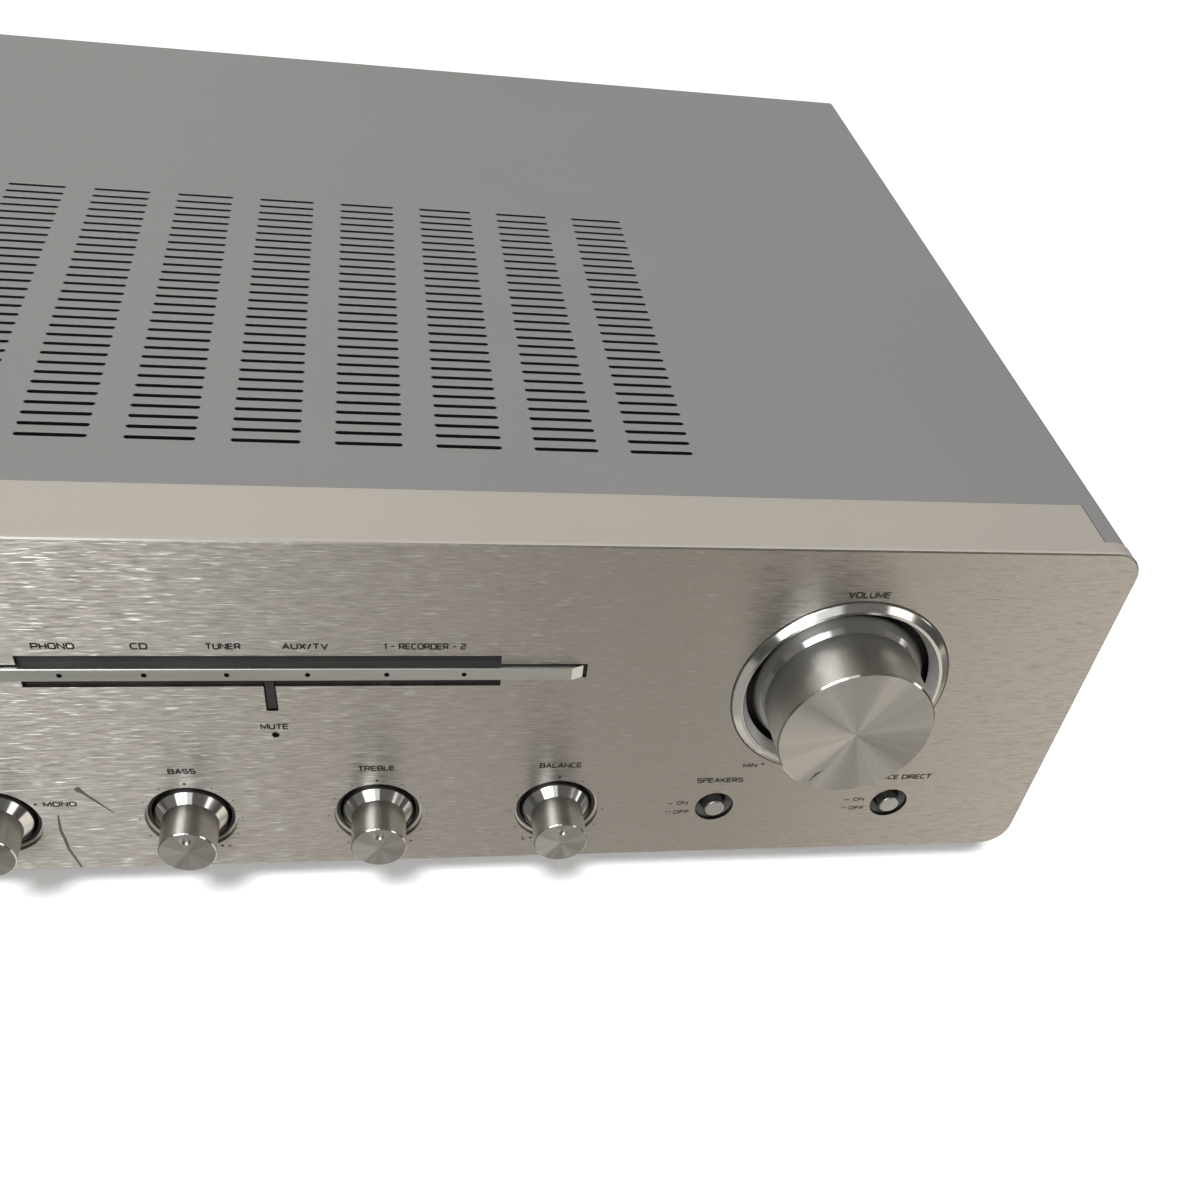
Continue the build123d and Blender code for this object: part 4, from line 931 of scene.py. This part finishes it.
def add_camera():
    """Camera above the front, looking down at its right half."""
    data = bpy.data.cameras.new("camera")
    data.lens = CAMERA_LENS
    data.sensor_width = 36.0
    data.shift_x, data.shift_y = CAMERA_SHIFT
    data.clip_start = 0.01
    data.clip_end = 50.0
    level = Vector((math.sin(CAMERA_YAW), math.cos(CAMERA_YAW), 0.0))
    forward = level * math.cos(CAMERA_PITCH) + Vector((0.0, 0.0, math.sin(CAMERA_PITCH)))
    right = Vector((math.cos(CAMERA_YAW), -math.sin(CAMERA_YAW), 0.0))
    up = right.cross(forward)
    x_axis = math.cos(CAMERA_ROLL) * right + math.sin(CAMERA_ROLL) * up
    y_axis = -math.sin(CAMERA_ROLL) * right + math.cos(CAMERA_ROLL) * up
    camera = bpy.data.objects.new("camera", data)
    bpy.context.scene.collection.objects.link(camera)
    turn = Matrix((x_axis, y_axis, -forward)).transposed().to_4x4()
    camera.matrix_world = Matrix.Translation(CAMERA_AT) @ turn
    bpy.context.scene.camera = camera


FLOOR_HALF = 12.0
FLOOR_GLOW = 0.04


def add_floor():
    """Wide pale floor under the feet; metals reflect the room instead of it."""
    half = FLOOR_HALF
    corners = [(-half, -half, 0), (half, -half, 0), (half, half, 0), (-half, half, 0)]
    mesh = bpy.data.meshes.new("floor")
    mesh.from_pydata(corners, [], [(0, 1, 2, 3)])
    floor = bpy.data.objects.new("floor", mesh)
    bpy.context.scene.collection.objects.link(floor)
    floor.visible_glossy = False
    look = Surface("floor_paper", emission_strength=FLOOR_GLOW)
    look.put("Base Color", look.shade((0.93, 0.93, 0.93), look.noise((6, 6, 6)), 0.01))
    look.put("Emission Color", (1.0, 1.0, 1.0))
    look.put("Roughness", 0.9)
    mesh.materials.append(look.material)


SUN_DIRECTION = (0.16, 0.56, -1.0)
SUN_STRENGTH = 3.3
SUN_WIDTH = 14.0             # degrees


def add_sun():
    """A broad light from the front and above, which metals don't reflect."""
    data = bpy.data.lights.new("sky_light", "SUN")
    data.energy = SUN_STRENGTH
    data.angle = math.radians(SUN_WIDTH)
    lamp = bpy.data.objects.new("sky_light", data)
    bpy.context.scene.collection.objects.link(lamp)
    lamp.rotation_mode = "QUATERNION"
    lamp.rotation_quaternion = Vector(SUN_DIRECTION).to_track_quat("-Z", "Y")
    lamp.visible_glossy = False


# The room as the metal reflects it: bearing from straight out of the panel, towards its right,
# and height above the horizon, both in degrees, with the softness of the edges and a colour
ROOM_BASE = (0.20, 0.19, 0.18)
BACKDROP = (0.93, 0.93, 0.93)      # what the camera sees behind the floor
ROOM = (
    ((-181, 181), (-110, -14), 6, (0.20, 0.19, 0.175)),     # table top
    ((-181, 181), (-130, -48), 24, (0.86, 0.81, 0.75)),     # table close to the panel
    ((-2, 17), (-64, -37), 10, (0.60, 0.56, 0.52)),         # paler patch of it in the middle
    ((-52, -30), (-60, -14), 8, (0.46, 0.45, 0.42)),        # table on the left
    ((-130, -54), (-105, -5), 8, (0.16, 0.165, 0.155)),     # dark far left
    ((21, 75), (-58, -14), 8, (0.62, 0.58, 0.53)),          # table on the right
    ((30, 75), (-100, -14), 6, (1.05, 0.99, 0.89)),         # its lightest part
    ((-120, 120), (-14, 6), 4, (0.09, 0.09, 0.085)),        # dim lower wall
    ((-120, 120), (32, 100), 6, (0.14, 0.135, 0.125)),      # dim ceiling in front
    ((-31, -12), (6, 27), 3, (8.6, 8.7, 8.7)),              # window
    ((-12, 7), (8, 27), 3, (1.0, 1.02, 0.97)),              # curtained part of the window
    ((-45, -12), (28, 48), 3, (4.8, 4.9, 5.0)),             # upper window
    ((-12, 6), (28, 50), 3, (1.1, 1.1, 1.07)),              # curtained part of the upper window
    ((-24, -21), (0, 60), 1, (0.8, 0.8, 0.8)),              # a bar between the panes
    ((-37, -35), (0, 60), 1, (0.8, 0.8, 0.8)),              # another one
    ((38, 52), (8, 24), 3, (2.6, 2.55, 2.35)),              # far window
    ((66, 78), (4, 14), 3, (2.4, 2.4, 2.3)),                # farther window
    ((-181, -120), (4, 70), 15, (0.54, 0.53, 0.51)),        # lighter wall behind, on the left
    ((150, 181), (4, 70), 15, (0.28, 0.275, 0.265)),        # the same wall, straight behind
    ((95, 145), (4, 70), 15, (0.14, 0.135, 0.13)),          # darker wall behind, on the right
)


def add_world():
    """The room as light and reflections see it, and a plain backdrop for the camera."""
    world = bpy.data.worlds.new("room")
    bpy.context.scene.world = world
    world.use_nodes = True
    look = Graph(world.node_tree, "Generated")
    x, y, z = look.axes()
    bearing = look.math("DEGREES", look.math("ARCTAN2", x, look.math("MULTIPLY", y, -1.0)))
    height = look.math("DEGREES", look.math("ARCSINE", z))
    colour = ROOM_BASE
    for bearings, heights, soft, patch in ROOM:
        across = between(look, bearing, bearings, soft)
        upright = between(look, height, heights, soft)
        colour = look.mix(look.math("MULTIPLY", across, upright), colour, patch)
    seen = look.add("ShaderNodeLightPath").outputs["Is Camera Ray"]
    look.join(world.node_tree.nodes["Background"].inputs["Color"], look.mix(seen, colour, BACKDROP))


def build_stage():
    """Camera, floor, light and room."""
    add_camera()
    add_floor()
    add_world()
    add_sun()
    bpy.context.scene.view_settings.view_transform = "Standard"


dress_frame()
print_panel()
print_ring_shadows()
print_scratches()
print_rear()
build_stage()
